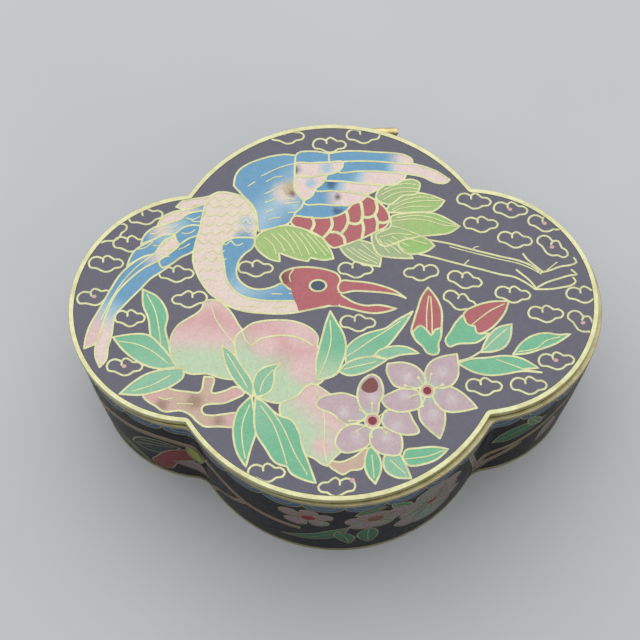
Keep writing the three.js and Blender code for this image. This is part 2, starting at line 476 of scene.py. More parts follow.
def clouds(picture):
    for x, y, turn, facing in (
        (-38, 20.5, 10, 1), (-45, 16.8, 30, 1), (-41, 14.2, 0, 1), (-45.8, 9.7, 0, 1),
        (-31.5, 7, 0, 1), (-29, 1.2, 0, -1), (-15.5, 7.8, 0, 1), (-8.5, 39.3, 0, 1),
        (0.3, 36.9, 0, 1), (7.5, 39, 0, 1), (4.7, 7, 0, 1), (29.8, 22.4, -6, 1),
        (30.8, 16.8, 0, 1), (37.5, 13, -8, 1), (17.7, 6, 0, -1), (26.6, 4, -14, 1),
        (36, 0.5, -5, 1), (25.3, -0.8, -25, 1), (50.2, 0.1, 0, 1), (42.2, -4, 0, 1),
        (28.7, -19.4, 0, 1), (37.4, -19.4, 0, 1), (4.7, -5, 0, 1), (-13.8, -36, 0, 1),
        (-0.8, -39.2, 0, -1),
    ):
        cloud(picture, x, y, turn, facing=facing)
    for x, y, turn in (
        (-47.8, 2.2, 12), (-41.3, -13.3, 0), (37.2, 20.1, -5), (44, 16.6, -12), (45, 11, -35),
        (49.5, -6.3, -35), (43.3, -14.3, 4),
    ):
        cloud(picture, x, y, turn, red=True)
    cloud(picture, -40.6, -2.7, width=0.85)
    picture.shape(ring(2.3, -38, 0.5, count=8), flat(ROSE))


def legs(picture):
    picture.path([(19.8, 13.4), (24, 12.4), (28.5, 10.9), (34, 9.2), (38, 8), (40, 7), (41.6, 5.6)])
    picture.path([(24, 11.7), (28.5, 10.2), (34, 8.5), (38, 7.3), (40, 6.3), (42, 4.9)], FINE_WIRE)
    picture.path([(28.5, 10.9), (29.2, 11.5), (29.8, 11.6)], FINE_WIRE)
    picture.path([(42.4, 5.4), (40.6, 7.2), (39.2, 8.8), (38.8, 9.6)])
    picture.path([(42.0, 5.3), (43.5, 5.6), (46, 6.5), (48.4, 6.9), (49.4, 7.4), (49.0, 8.4)])
    picture.path([(43.2, 5.7), (44.3, 6.6), (45.4, 7.5)], FINE_WIRE)
    picture.path([(17, 10.3), (20, 9.5), (24, 8.2), (26.5, 7.4), (30, 6.3), (34, 5), (36.5, 4.4),
        (38.5, 3.2), (40.4, 1.6)])
    picture.path([(26.6, 7.5), (27.6, 8.5)], FINE_WIRE)
    picture.path([(40.8, 1.6), (39.3, 3.8), (38, 5.1), (37.1, 6)])
    picture.path([(40.8, 1.8), (43, 3), (45.5, 3.8), (48, 4.5), (49.2, 4.6), (48.2, 5.7)])
    picture.path([(40.4, 1.5), (44, 1.5), (46, 1.8), (48.2, 2.4), (48.8, 3), (48.4, 3.9)])


def tail(picture):
    """Pale green tail feathers with fine lines along them."""
    green = fade((8, 22), (26, 17), TAIL_GREY, TAIL_GREEN, TAIL_GREEN)
    picture.cell([(1.5, 12.8), (2.2, 11), (4, 9.2), (7, 8), *tip(9.5, 7.5), (9.8, 9), (9.9, 11),
        (6, 13.6)], flat(TAIL_GREY))
    picture.cell([(8.5, 15.6), (9.8, 10), (11, 9.7), (14, 9.3), *tip(16.3, 9.2), (15.8, 10.4),
        (16.6, 12), (14, 15)], flat(TAIL_GREY))
    picture.cell([(13.5, 12.5), (15, 10.4), (17, 10.2), (19.5, 10.9), *tip(20.9, 12), (19.6, 13.5),
        (18, 14.4), (14.5, 15.2)], flat(TAIL_BRIGHT))
    picture.cell([(9, 14.6), (12.3, 17), (12.3, 19), (15, 19.7), (18.5, 19.9), (22, 19.3),
        (24.5, 17.8), *tip(26.3, 16.4), (24.5, 15.1), (21, 14.5), (18.3, 14.3), (15, 13.6),
        (10, 12.4)], fade((9, 14), (24, 18), TAIL_GREY, TAIL_GREEN, TAIL_BRIGHT))
    picture.cell([(11.5, 20.4), (12.3, 22), (15, 24), (18, 24.6), (21, 23.9), *tip(23.6, 22.6),
        (22.7, 21.3), (21.3, 20.2), (18, 20), (14, 20)], green)
    picture.cell([(9.5, 23.5), (11, 26.6), (14.5, 27.5), (17.5, 27.8), (18.7, 27), (18.5, 25.5),
        (18.1, 24.6), (15, 24), (12.3, 22)], green)
    picture.paths(
        [(12.6, 18), (17, 18.4), (20, 17.9), (23, 16.8), (25.6, 16.4)],
        [(13.5, 18.8), (17.5, 19.2), (20.5, 18.7), (23.5, 17.4), (25.6, 16.7)],
        [(12, 17), (15, 16), (17.5, 14.8), (18.4, 14.4)],
        [(10, 14.4), (13, 15.1), (16, 14.7)],
        [(12.8, 20.8), (15, 22), (18, 22.6), (22.8, 22.6)],
        [(13, 21.8), (15.5, 23), (18.5, 23.6), (21.5, 23.2)],
        [(10.6, 24.4), (13, 25.6), (16, 25.9), (18.3, 25.6)],
        [(11, 23.2), (13.4, 24.6), (16, 25), (18, 24.9)],
        [(10.6, 13), (12, 12.2), (13.8, 10.4)],
        [(9.6, 14), (10.4, 12.4), (11.6, 10.6)],
        [(4, 12), (6, 10.2), (9, 8.2)],
        [(6, 13), (8, 11), (9.4, 9.6)],
        [(3, 11.8), (5, 10), (7.2, 8.7)],
        [(5.4, 11.6), (7, 10.4), (9.2, 9)],
        [(11.4, 13.6), (13.4, 12.2), (15.4, 10.6)],
        [(12.4, 14.4), (14.2, 13), (15.8, 12)],
        [(14.8, 14.2), (16.8, 13.4), (19.4, 12.4)],
        [(11.6, 19.6), (14, 20.8), (17, 21.4), (20.6, 21.2)],
        [(11.4, 25.6), (13.6, 26.6), (16, 26.9), (18, 26.6)],
        width=VEIN_WIRE,
    )


def scales(picture):
    """The red scaled patch between the wing and the tail."""
    picture.cell([(-7.7, 19.6), (-5, 19.4), (-2, 19.1), (0, 19.3), (2, 19.9), (3.5, 21),
        (4.5, 22.2), (6.3, 22.9), (7.6, 24), (9.7, 22.8), (10.9, 21.6), (11.8, 20), (12, 18.3),
        (11.2, 16.7), (9.7, 15.9), (8, 15), (6, 14), (4, 13.2), (2, 12.5), (0.2, 12.1),
        (-0.8, 12.9), (-1.6, 14), (-4, 15.9), (-6, 16.7), (-7.5, 17.3), (-8.3, 18.4)], flat(RED))
    picture.paths(
        [(-3.9, 19.3), (-3.5, 17.8), (-4.3, 16)],
        [(0, 19.2), (0.2, 17.4), (-0.6, 15.8), (-1.8, 14.4)],
        [(-0.4, 15.8), (1.2, 15.6), (2.4, 14.6), (2.7, 13)],
        [(3.2, 20.6), (3.5, 18.6), (2.9, 16.6), (1.9, 15.3)],
        [(3.4, 18), (4.8, 17.5), (6, 17.9), (6.5, 19.4), (6.3, 22.6)],
        [(6.3, 18.4), (6.6, 16.6), (6.2, 14.3)],
        [(6.4, 19.2), (7.8, 19), (9, 19.6), (9.6, 21), (9.4, 22.8)],
        [(9, 19.6), (9.5, 18), (9.3, 15.9)],
        [(9.5, 18), (10.7, 17.6), (11.8, 18)],
        width=SCALE_WIRE,
    )


def thigh(picture):
    picture.cell([(-15.8, 13.8), (-14.5, 16), (-12, 17), (-9, 17.6), (-7.7, 17.3), (-5, 16.3),
        (-3.5, 15.2), (-2, 14.4), (-1.2, 13.2), (-0.3, 11.5), *tip(0.2, 9.6), (-1.5, 9.3),
        *tip(-4.5, 9.9), *tip(-5, 9.1), (-7, 9.6), *tip(-10.8, 11.2), *tip(-10.7, 9.2),
        (-12.5, 9.7), (-14, 10.8), (-15.3, 12.3)], fade((-15, 12), (0, 12), TAIL_GREEN, TAIL_GREEN,
        TAIL_BRIGHT))
    picture.paths(
        [(-13.6, 14.8), (-12, 13), (-11.4, 11)],
        [(-11, 15.8), (-9, 13.6), (-7.6, 11)],
        [(-8, 16.2), (-6, 13.6), (-4.6, 10.6)],
        [(-5, 15.4), (-3, 12.8), (-1.4, 10.4)],
        [(-12.4, 15.8), (-10.6, 13.6), (-9.6, 11.6)],
        [(-9.4, 16.6), (-7.6, 13.8), (-6.2, 10.4)],
        [(-6.4, 15.9), (-4.6, 13.2), (-3.2, 10.8)],
        [(-3.4, 14.6), (-2, 12.8), (-0.7, 11)],
        width=VEIN_WIRE,
    )


def left_wing(picture):
    """Long feathers that sweep down to the left, blue by the body and pink at their tips."""
    low = [(-33, 9), (-35, 7.3), (-37, 5.8), (-38.5, 4), (-40.5, 1.8), (-42.3, -0.3), (-43.6, -2),
           (-44, -4.2), (-44.2, -6.5), (-44.8, -9), (-45.2, -12)]
    middle = [(-47.2, -8), (-46.3, -5), (-45.3, -1.4), (-43.7, 2.6), (-41, 6), (-38, 8.6),
        (-35.4, 10)]
    picture.cell([*low, *tip(-46.3, -13.3), (-47.2, -11), *middle], fade((-41.4, 1.4), (-45, -5),
        BLUE, PALE_BLUE, SHELL_PINK))
    picture.cell([*tip(-49.5, -9.2), (-49.3, -7), (-48.5, -4), (-47, -1), (-45.6, 2), (-44.4, 4.5),
        (-43, 7), (-41, 9.2), (-38, 11.2), (-36, 11.8), (-35.3, 13), (-34.2, 14.7), (-32.5, 15.6),
        (-31.2, 14.2), (-31.2, 13.2), (-33.4, 11.4), *reversed(middle)], fade((-32, 14), (-48, -4),
        CREAM, SHELL_PINK, BLUE, BLUE, BLUE, PALE_BLUE, PINK))
    picture.path([(-36.2, 11.6), (-39.5, 8.9), (-42.4, 5.4), (-44.6, 1.4), (-46.4, -3)], FINE_WIRE)
    picture.cell([(-27, 16), (-29.3, 15), (-31, 13.8), (-31.4, 13.2), (-33.4, 11.4), (-35.2, 9.8),
        (-34.4, 8.4), (-33, 9), (-30.8, 10.7), (-28, 12.3)], fade((-27, 14), (-34, 10), DEEP_BLUE,
        BLUE))
    picture.cell([(-32, 16.3), (-34.5, 16), (-36, 15.2), (-38.5, 13.8), (-40, 12.7), (-41, 11),
        *tip(-41.6, 9), (-40, 10.1), (-38, 11.2), (-36, 11.8), (-35.3, 13), (-34.2, 14.7),
        (-32.6, 15.6)], fade((-33, 15.6), (-41, 10), PALE_BLUE, BLUE, BLUE))
    picture.cell([(-26, 18), (-28.5, 18.2), (-30.5, 17.6), *tip(-32.1, 16.2), (-31.7, 14.6),
        *tip(-31, 13.7), (-29.3, 15), (-27, 16)], flat(BLUE))
    picture.cell([(-24, 21.5), (-27.5, 21.4), (-29.8, 20.7), (-31, 19.6), (-33, 18.9), (-36, 18),
        (-37.5, 17), (-38.5, 15.6), *tip(-38.9, 14), (-36, 15.2), (-34.5, 16), (-32, 16.3),
        (-30.5, 17.6), (-28.5, 18.2), (-26, 18), (-24, 19.5)], fade((-25, 20), (-38, 15.5), BLUE,
        BLUE, PALE_BLUE, SHELL_PINK, BLUE))
    picture.cell([(-21.5, 23.3), (-24, 23.6), (-27, 22.8), (-30, 21.9), (-33, 21.2), (-34.5, 20.3),
        (-35.4, 19), *tip(-35.7, 17.9), (-33, 18.9), (-31, 19.6), (-29.8, 20.7), (-27.5, 21.4),
        (-24, 21.5), (-22, 22)], fade((-26, 22.4), (-29.6, 21.4), BLUE, SHELL_PINK))
    picture.cell([(-19.5, 24.6), (-21.5, 25.6), (-23.2, 25.9), (-25, 25), (-28.5, 24.4),
        (-30.5, 24), *tip(-31.9, 22.6), (-30, 21.9), (-27, 22.8), (-24, 23.6), (-21.5, 23.3)],
        fade((-23.4, 24.6), (-26, 24), BLUE, SHELL_PINK))


def small_feathers(picture):
    """Short curved feathers over the roots of the left wing's long ones."""
    picture.paths(
        [(-24.4, 22.4), (-25.4, 21.5), (-26.8, 21.6)],
        [(-27.6, 23.1), (-28.8, 22.6), (-29.8, 22.8)],
        [(-27, 20.2), (-28.4, 19.5), (-29.8, 19.9)],
        [(-30.6, 21.4), (-31.8, 20.6), (-33, 20.8)],
        [(-25.8, 19.4), (-27.2, 18.9), (-28.6, 19.2)],
        [(-31.4, 18.4), (-32.8, 17.6), (-34.2, 17.8)],
        [(-34.6, 17.4), (-35.8, 16.4), (-37, 16.4)],
        [(-28, 17), (-29.2, 16.2), (-30.6, 16.4)],
        [(-33.4, 14.8), (-34.8, 13.6), (-36.4, 13.6)],
        [(-36.6, 14.4), (-38, 13.2), (-39.4, 12.8)],
        [(-32.2, 12.8), (-33.6, 12.4), (-34.6, 12.8)],
        [(-29, 13.8), (-30.4, 12.9), (-31.2, 12.6)],
        [(-33.2, 11), (-34.4, 11), (-35.4, 11.6)],
    )


FEATHER_SAG = 0.9


def neck_and_body(picture):
    inner = [(-10.3, 4.2), (-12, 3.5), (-14, 3), (-16, 3.1), (-17.8, 4), (-19, 5.3), (-19.5, 7),
        (-19.2, 9), (-18, 11), (-16.2, 12.6)]
    picture.cell([(-24, 25.5), (-25.6, 23.6), (-26.4, 20.6), (-27, 17), (-28, 13), (-28.3, 10),
        (-27.5, 7), (-26.3, 4.5), (-24.5, 2), (-22.5, 0.5), (-20.5, -0.9), (-18, -1.8), (-14, -2.4),
        (-10, -2.6), (-7, -2.3), (-4, -1.6), (-1, -1.1), (0.6, 0), (0.8, 1.6), (-2, 1.2), (-6, 1.9),
        (-9, 3), *inner, (-15.5, 16.5), (-15.3, 18), (-15.7, 20), (-16.8, 22.8), (-18.5, 24.8),
        (-20, 25.4), (-22.5, 25.9)], touched(fade((-27, 10), (-16, 14), SHELL_PINK, CREAM, CREAM),
        (-17.4, 18.6, 1.8, PALE_BLUE), (-18, 15, 2.4, BLUE)))
    picture.cell([(-22, 14), (-22, 9), (-21.3, 5), (-19, 2), (-16, 0.8), (-9, 0.2), (-4, 0.1),
        (0.4, 0.2), (0.8, 1.5), (-2, 1.2), (-6, 1.9), (-9, 3), *inner, (-15.8, 14.6), (-18, 15),
        (-20.5, 14.8)], fade((-20, 14), (-12, 1), BLUE, BLUE, PALE_BLUE, BLUE))
    # Rows of small scale feathers, each an arc that sags between two points of its row.
    for row in (
        [(-28.1, 8), (-26.2, 8.5), (-24.2, 8.2), (-22.2, 8.4)],
        [(-28.2, 10.6), (-25.6, 10.6), (-23.4, 10.6), (-21.6, 10.2)],
        [(-28, 12.6), (-26.4, 12.9), (-24.2, 12.4), (-22, 12)],
        [(-27.4, 15), (-25, 14.4), (-22.8, 14.2), (-20.6, 14.4), (-18.2, 13.6)],
        [(-27, 16.8), (-24.8, 16.6), (-22.4, 16.8), (-20.4, 17.2), (-18.2, 17.5), (-16, 16.6)],
        [(-26.6, 19), (-24, 18.6), (-21.8, 18.9), (-19.6, 19.1), (-17.4, 19.3), (-15.8, 18.8)],
        [(-26, 21.4), (-23.8, 20.8), (-21.4, 21), (-19, 21.2), (-16.6, 21.2)],
        [(-25.2, 23.4), (-22.8, 22.9), (-20.6, 23.2), (-18, 23.2)],
        [(-24, 25), (-22, 24.5), (-19.8, 24.7)],
    ):
        for (ax, ay), (bx, by) in zip(row, row[1:]):
            low = ((ax + bx) / 2, (ay + by) / 2 - FEATHER_SAG)
            picture.path([(ax, ay), low, (bx, by)], FINE_WIRE)
    picture.paths(
        [(-26.6, 5.2), (-25, 5.6), (-23.6, 5.2)],
        [(-8.9, 1.9), (-7.9, 1.8)],
        [(-12.4, 1.9), (-10.4, 1.8)],
        [(-12, -1.2), (-9.5, -0.8)],
        [(-17.4, -0.6), (-15, -0.9)],
    )


def head(picture):
    crown = [(-10.3, 4.5), (-10.7, 5.7), (-10, 6.8), (-8.8, 7.4), (-6, 7.8), (-3, 7.5), (-0.5, 6.8),
        (0.7, 6.2), (1.4, 5), (1.3, 4), (0.9, 3.2)]
    throat = [(0.8, 1.2), (0, -0.8), (-1.2, -1.2), (-4, -1.7), (-7, -2.2), (-7.5, -0.6),
        (-8.2, 1.2), (-8.7, 3.2)]
    picture.patch(crown + throat, touched(flat(RED), (-10, 5.4, 2.2, BROWN)))
    picture.path(crown)
    picture.path([(-8.6, 4.6), (-8.8, 5.8), (-8, 7.3)], FINE_WIRE)
    picture.path([(-7, -2.3), (-4, -1.7), (-1, -1.1), (1.2, -1.1)])
    picture.cell([(0.9, 3.2), (1.6, 4.4), (4, 4.3), (7, 3.9), (10, 3), (12.5, 1.8), *tip(14.4, 0.2),
        (13.2, 0.8), (11, 1.4), (8, 1.8), (4, 2.1), (1.2, 1.9)], flat(RED))
    picture.cell([*tip(0.8, 1.7), (2.5, 0.5), (4, -0.5), (6, -1.2), (9, -1.2), *tip(12.5, -2.1),
        (10, -2.8), (8, -3), (6, -2.7), (4, -2.1), *tip(1, -1.2)], flat(RED))
    picture.patch([(1.2, 1.7), (0.9, -1.0), (-0.6, -1.0), (-0.6, 1.6)], flat(RED))
    eye = (-3.1, 3.5)
    picture.shape(ring(*eye, 1.9, 1.5), None)
    picture.shape(ring(*eye, 1.45, 1.1), flat(SLATE))


def right_wing(picture):
    """The raised wing: long flight feathers below, coverts and the shoulder over them."""
    picture.cell([(-7.5, 19.8), (-5, 19.4), (-2, 19.1), (0, 19.2), (2, 19.8), (3.5, 20.8),
        (4.6, 22.1), (2, 22.3), (-2, 22.8), (-5.5, 23.2), (-8, 21.6)], touched(flat(BLUE),
        (1.4, 20.6, 1.3, DARK_BLUE)))
    picture.cell([(-5.5, 22.8), (-2, 22.4), (2, 22), (4.4, 22), (6.3, 22.8), (8, 24.6), (4, 25.4),
        (0, 25.9), (-3, 26.1), (-5.6, 24.2)], touched(fade((-1.4, 23.6), (1.6, 23.6), BLUE,
        SHELL_PINK), (1.6, 24.4, 0.8, SPECK)))
    picture.cell([(-3, 25.8), (0, 25.6), (4, 25.2), (7.8, 24.6), (9.6, 25.5), (11.4, 26.6),
        (6, 27.6), (3, 28), (0, 28.3), (-2.4, 27.6)], touched(fade((0.6, 26.6), (3.6, 26), BLUE,
        PALE_BLUE, SHELL_PINK), (0.3, 27.2, 1.5, DARK_BLUE)))
    picture.cell([(-0.8, 28.1), (0, 28), (3, 27.8), (6, 27.3), (10, 26.8), (12.5, 26.7),
        (14.5, 27.2), (15.6, 28.2), (16, 29.4), (10, 30.3), (6, 30.5), (2, 30.5), (-0.4, 29.6)],
        fade((4.6, 29), (7.6, 28), BLUE, PALE_BLUE, SHELL_PINK))
    picture.cell([(2, 30.3), (6, 30.2), (10, 30.1), (13, 29.7), (17, 29.1), (19.5, 28.4), (22, 27),
        (24.3, 26.9), *tip(25, 27.6), (22.6, 29.6), (19, 31.3), (17, 31.9), (14, 32.2), (10, 32.7),
        (5, 32.9), (2.8, 32.6), (2.6, 31.3)], fade((11.6, 31), (15.4, 30.6), BLUE, PALE_BLUE,
        SHELL_PINK, SHELL_PINK))
    picture.cell([*tip(0, 32.5), (5, 32.7), (10, 32.5), (14, 32), *tip(17.4, 31.7), (17.5, 32.6),
        (16, 33.9), (14, 34.4), (10, 34.8), (6, 35.2), (3, 35.2), *tip(0, 34.7)], fade((12, 33.6),
        (15.4, 33), BLUE, SHELL_PINK))
    picture.cell([*tip(-7.2, 32.4), (-4, 32.5), *tip(0, 32.5), *tip(0, 34.7), (-2, 35.2),
        (-4, 35.4), (-6.5, 35), *tip(-7, 34.4)], flat(BLUE))
    picture.cell([(-7.2, 29.2), (-4, 29.1), (-1, 29.5), (1.8, 30.3), (2.7, 31.2), (2.9, 32.5),
        (0, 32.6), (-4, 32.5), (-7.2, 32.4), (-7.8, 31)], touched(flat(SHELL_PINK),
        (-0.6, 31.2, 1.8, PALE_BLUE), (-7.2, 31, 1.4, DARK_BLUE)))
    picture.cell([(-7.2, 29.2), (-7.4, 26), *tip(-5.5, 23.3), (-3.7, 24.6), *tip(-3.1, 26.1),
        (-1.4, 27.6), *tip(-0.8, 29.6), (-4, 29.1)], touched(flat(SHELL_PINK),
        (-4, 27.6, 1.6, PALE_BLUE)))
    shoulder = touched(fade((-19, 29), (-8, 19), BLUE, BLUE, PALE_BLUE, BLUE),
        (-9.4, 25.4, 3.2, SHELL_PINK), (-8.2, 26.6, 2.4, BEIGE), (-8.1, 25.2, 1.0, BROWN),
        (-7.2, 22, 1.6, PALE_BLUE))
    picture.cell([*tip(-20, 27.4), (-19.7, 29.5), (-19, 31), (-17.5, 32.3), (-15, 33.5),
        (-12, 34.4), (-8.5, 34.7), *tip(-7, 34.4), *tip(-7.2, 32.4), (-7.3, 29.2), (-7.3, 26),
        *tip(-5.5, 23.3), (-6, 21.8), (-7.4, 20.4), *tip(-7.8, 19.2), (-9, 17.9), (-11, 17.2),
        *tip(-15, 16.4), (-15.2, 19), (-15.5, 21), (-16.5, 23), (-18, 24.8)], shoulder)
    picture.paths(
        [(-14.2, 29.6), (-12, 30.8), (-9.5, 31.9), (-7.5, 32.4)],
        [(-13.2, 28.2), (-11.5, 29.2), (-10, 29.4)],
        [(-13.5, 25.3), (-12, 26), (-10.5, 27)],
        [(-13.5, 23.2), (-11.2, 24)],
        [(-13.3, 20.8), (-12, 21.4)],
        [(-12.8, 19), (-11.5, 19.5), (-10.5, 19.5)],
        [(-9.5, 22.8), (-6.5, 23.1)],
        [(-8.8, 20.6), (-7.2, 20.7)],
        [(-17, 27.2), (-15.6, 28.2)],
        [(-10, 25.8), (-9.4, 24.2), (-7.6, 23.8)],
    )


def leaf(picture, outline, paint, *veins):
    picture.cell(outline, paint)
    picture.paths(*veins)


def branch(picture):
    bark = touched(fade((-37, -21), (-19, -22), ROSE, BARK, BARK, ROSE),
        (-34, -21.6, 1.8, BARK_DARK), (-27.6, -21, 2.2, BARK_DARK), (-23, -25.2, 1.6, BARK_DARK))
    picture.cell([(-37.6, -19.8), (-35.6, -18.2), (-33.5, -17.9), (-31.5, -18.6), (-29, -19),
        (-26.7, -19.2), *tip(-25.8, -15.9), (-24, -16.2), (-24.3, -19.4), (-22, -19.1),
        (-19.5, -18.2), (-18, -19.6), (-20, -20.8), (-22, -21.6), (-24.5, -21.7), (-25.9, -22),
        (-26.3, -22.8), (-25.8, -23.8), (-24.5, -24.1), (-22, -23.9), (-19.2, -23.9),
        (-19.4, -26.3), (-23, -26.4), (-26, -26.2), (-27.2, -25.2), (-28.5, -23.8), (-30, -23),
        (-33.8, -22.9), (-35.2, -21.8), (-36.7, -20.8)], bark)
    picture.path([(-34.6, -20), (-33.4, -20.5), (-32, -20.2)], FINE_WIRE)
    picture.path([(-31, -21.4), (-28, -21.6)], FINE_WIRE)
    picture.cell([(-2.2, -34.2), (0.3, -34.3), (3, -33.2), (5.4, -31.6), (6.2, -33), (5, -34.5),
        (4, -35.8), (2, -36), (0.5, -36.8), (-0.8, -36), (-2, -35)], flat(BARK))


def peaches(picture):
    skin = touched(fade((-26, 0), (-27, -15), PINK, ROSE, PINK, PEACH_GREEN, PEACH_GREEN),
        (-24, -3, 3, ROSE))
    picture.cell([(-24.5, 0.9), (-26, 0.4), (-26.3, -0.8), (-27.2, -1.9), (-29, -3.1), (-31, -4.5),
        (-32, -6), (-32.6, -8), (-32.5, -10.5), (-31.8, -12.8), (-30.3, -14.5), (-28.5, -15.2),
        (-25, -15.3), (-23, -16.1), (-19, -16.4), (-17, -12), (-18, -6.5), (-19, -5), (-20, -3),
        (-21.5, -0.8), (-23, 0.5)], skin)
    picture.path([(-24.6, 0.2), (-23.8, -3), (-21.8, -6.4), (-20, -9)], FINE_WIRE)
    skin = touched(fade((-6, -5), (-16, -20), PINK, ROSE, PEACH_GREEN, PEACH_GREEN),
        (-7, -7, 3.5, PINK), (-6, -15, 4, PINK), (-14, -9, 3.5, PINK))
    picture.cell([(-19.6, -7.4), (-18, -5.8), (-16.5, -4.7), (-14, -4.1), (-11.5, -4), (-8, -4.4),
        (-5.5, -5.5), (-4, -6.8), (-3.4, -8), (-3.6, -9.5), (-3.2, -11), (-2, -14), (-2.6, -17.2),
        (-5, -18.9), (-6.5, -20), (-8, -21.2), (-10, -21.8), (-12.5, -21.7), (-14.4, -21),
        (-17, -19.6), (-18.6, -16), (-19.6, -11.4)], skin)
    picture.path([(-16.3, -9.3), (-15.2, -8.3), (-12.5, -7.5), (-10, -7.4), (-7, -8.1),
        (-4.4, -9.8)])
    picture.path([(-18.4, -6.4), (-17.6, -8.4), (-16.4, -9.6)], FINE_WIRE)
    skin = touched(fade((0, -21), (-9, -30), PINK, PINK, PEACH_GREEN, PEACH_GREEN),
        (-3, -31, 3, PINK))
    picture.cell([(-8, -20.6), (-5.5, -18.2), (-4.5, -18), (-3.5, -18.6), (-1.6, -20.1), (1, -22),
        (2, -27), (1, -31.4), (-1.2, -33.6), *tip(-2.4, -35), (-3.5, -34.5), (-4.8, -33.4),
        (-6.3, -32.7), (-8.6, -31), (-10.6, -26), (-11, -22)], skin)
    picture.path([(-4.4, -18.4), (-3, -22.6), (-2.6, -27), (-2.9, -31), (-2.5, -34.4)], FINE_WIRE)


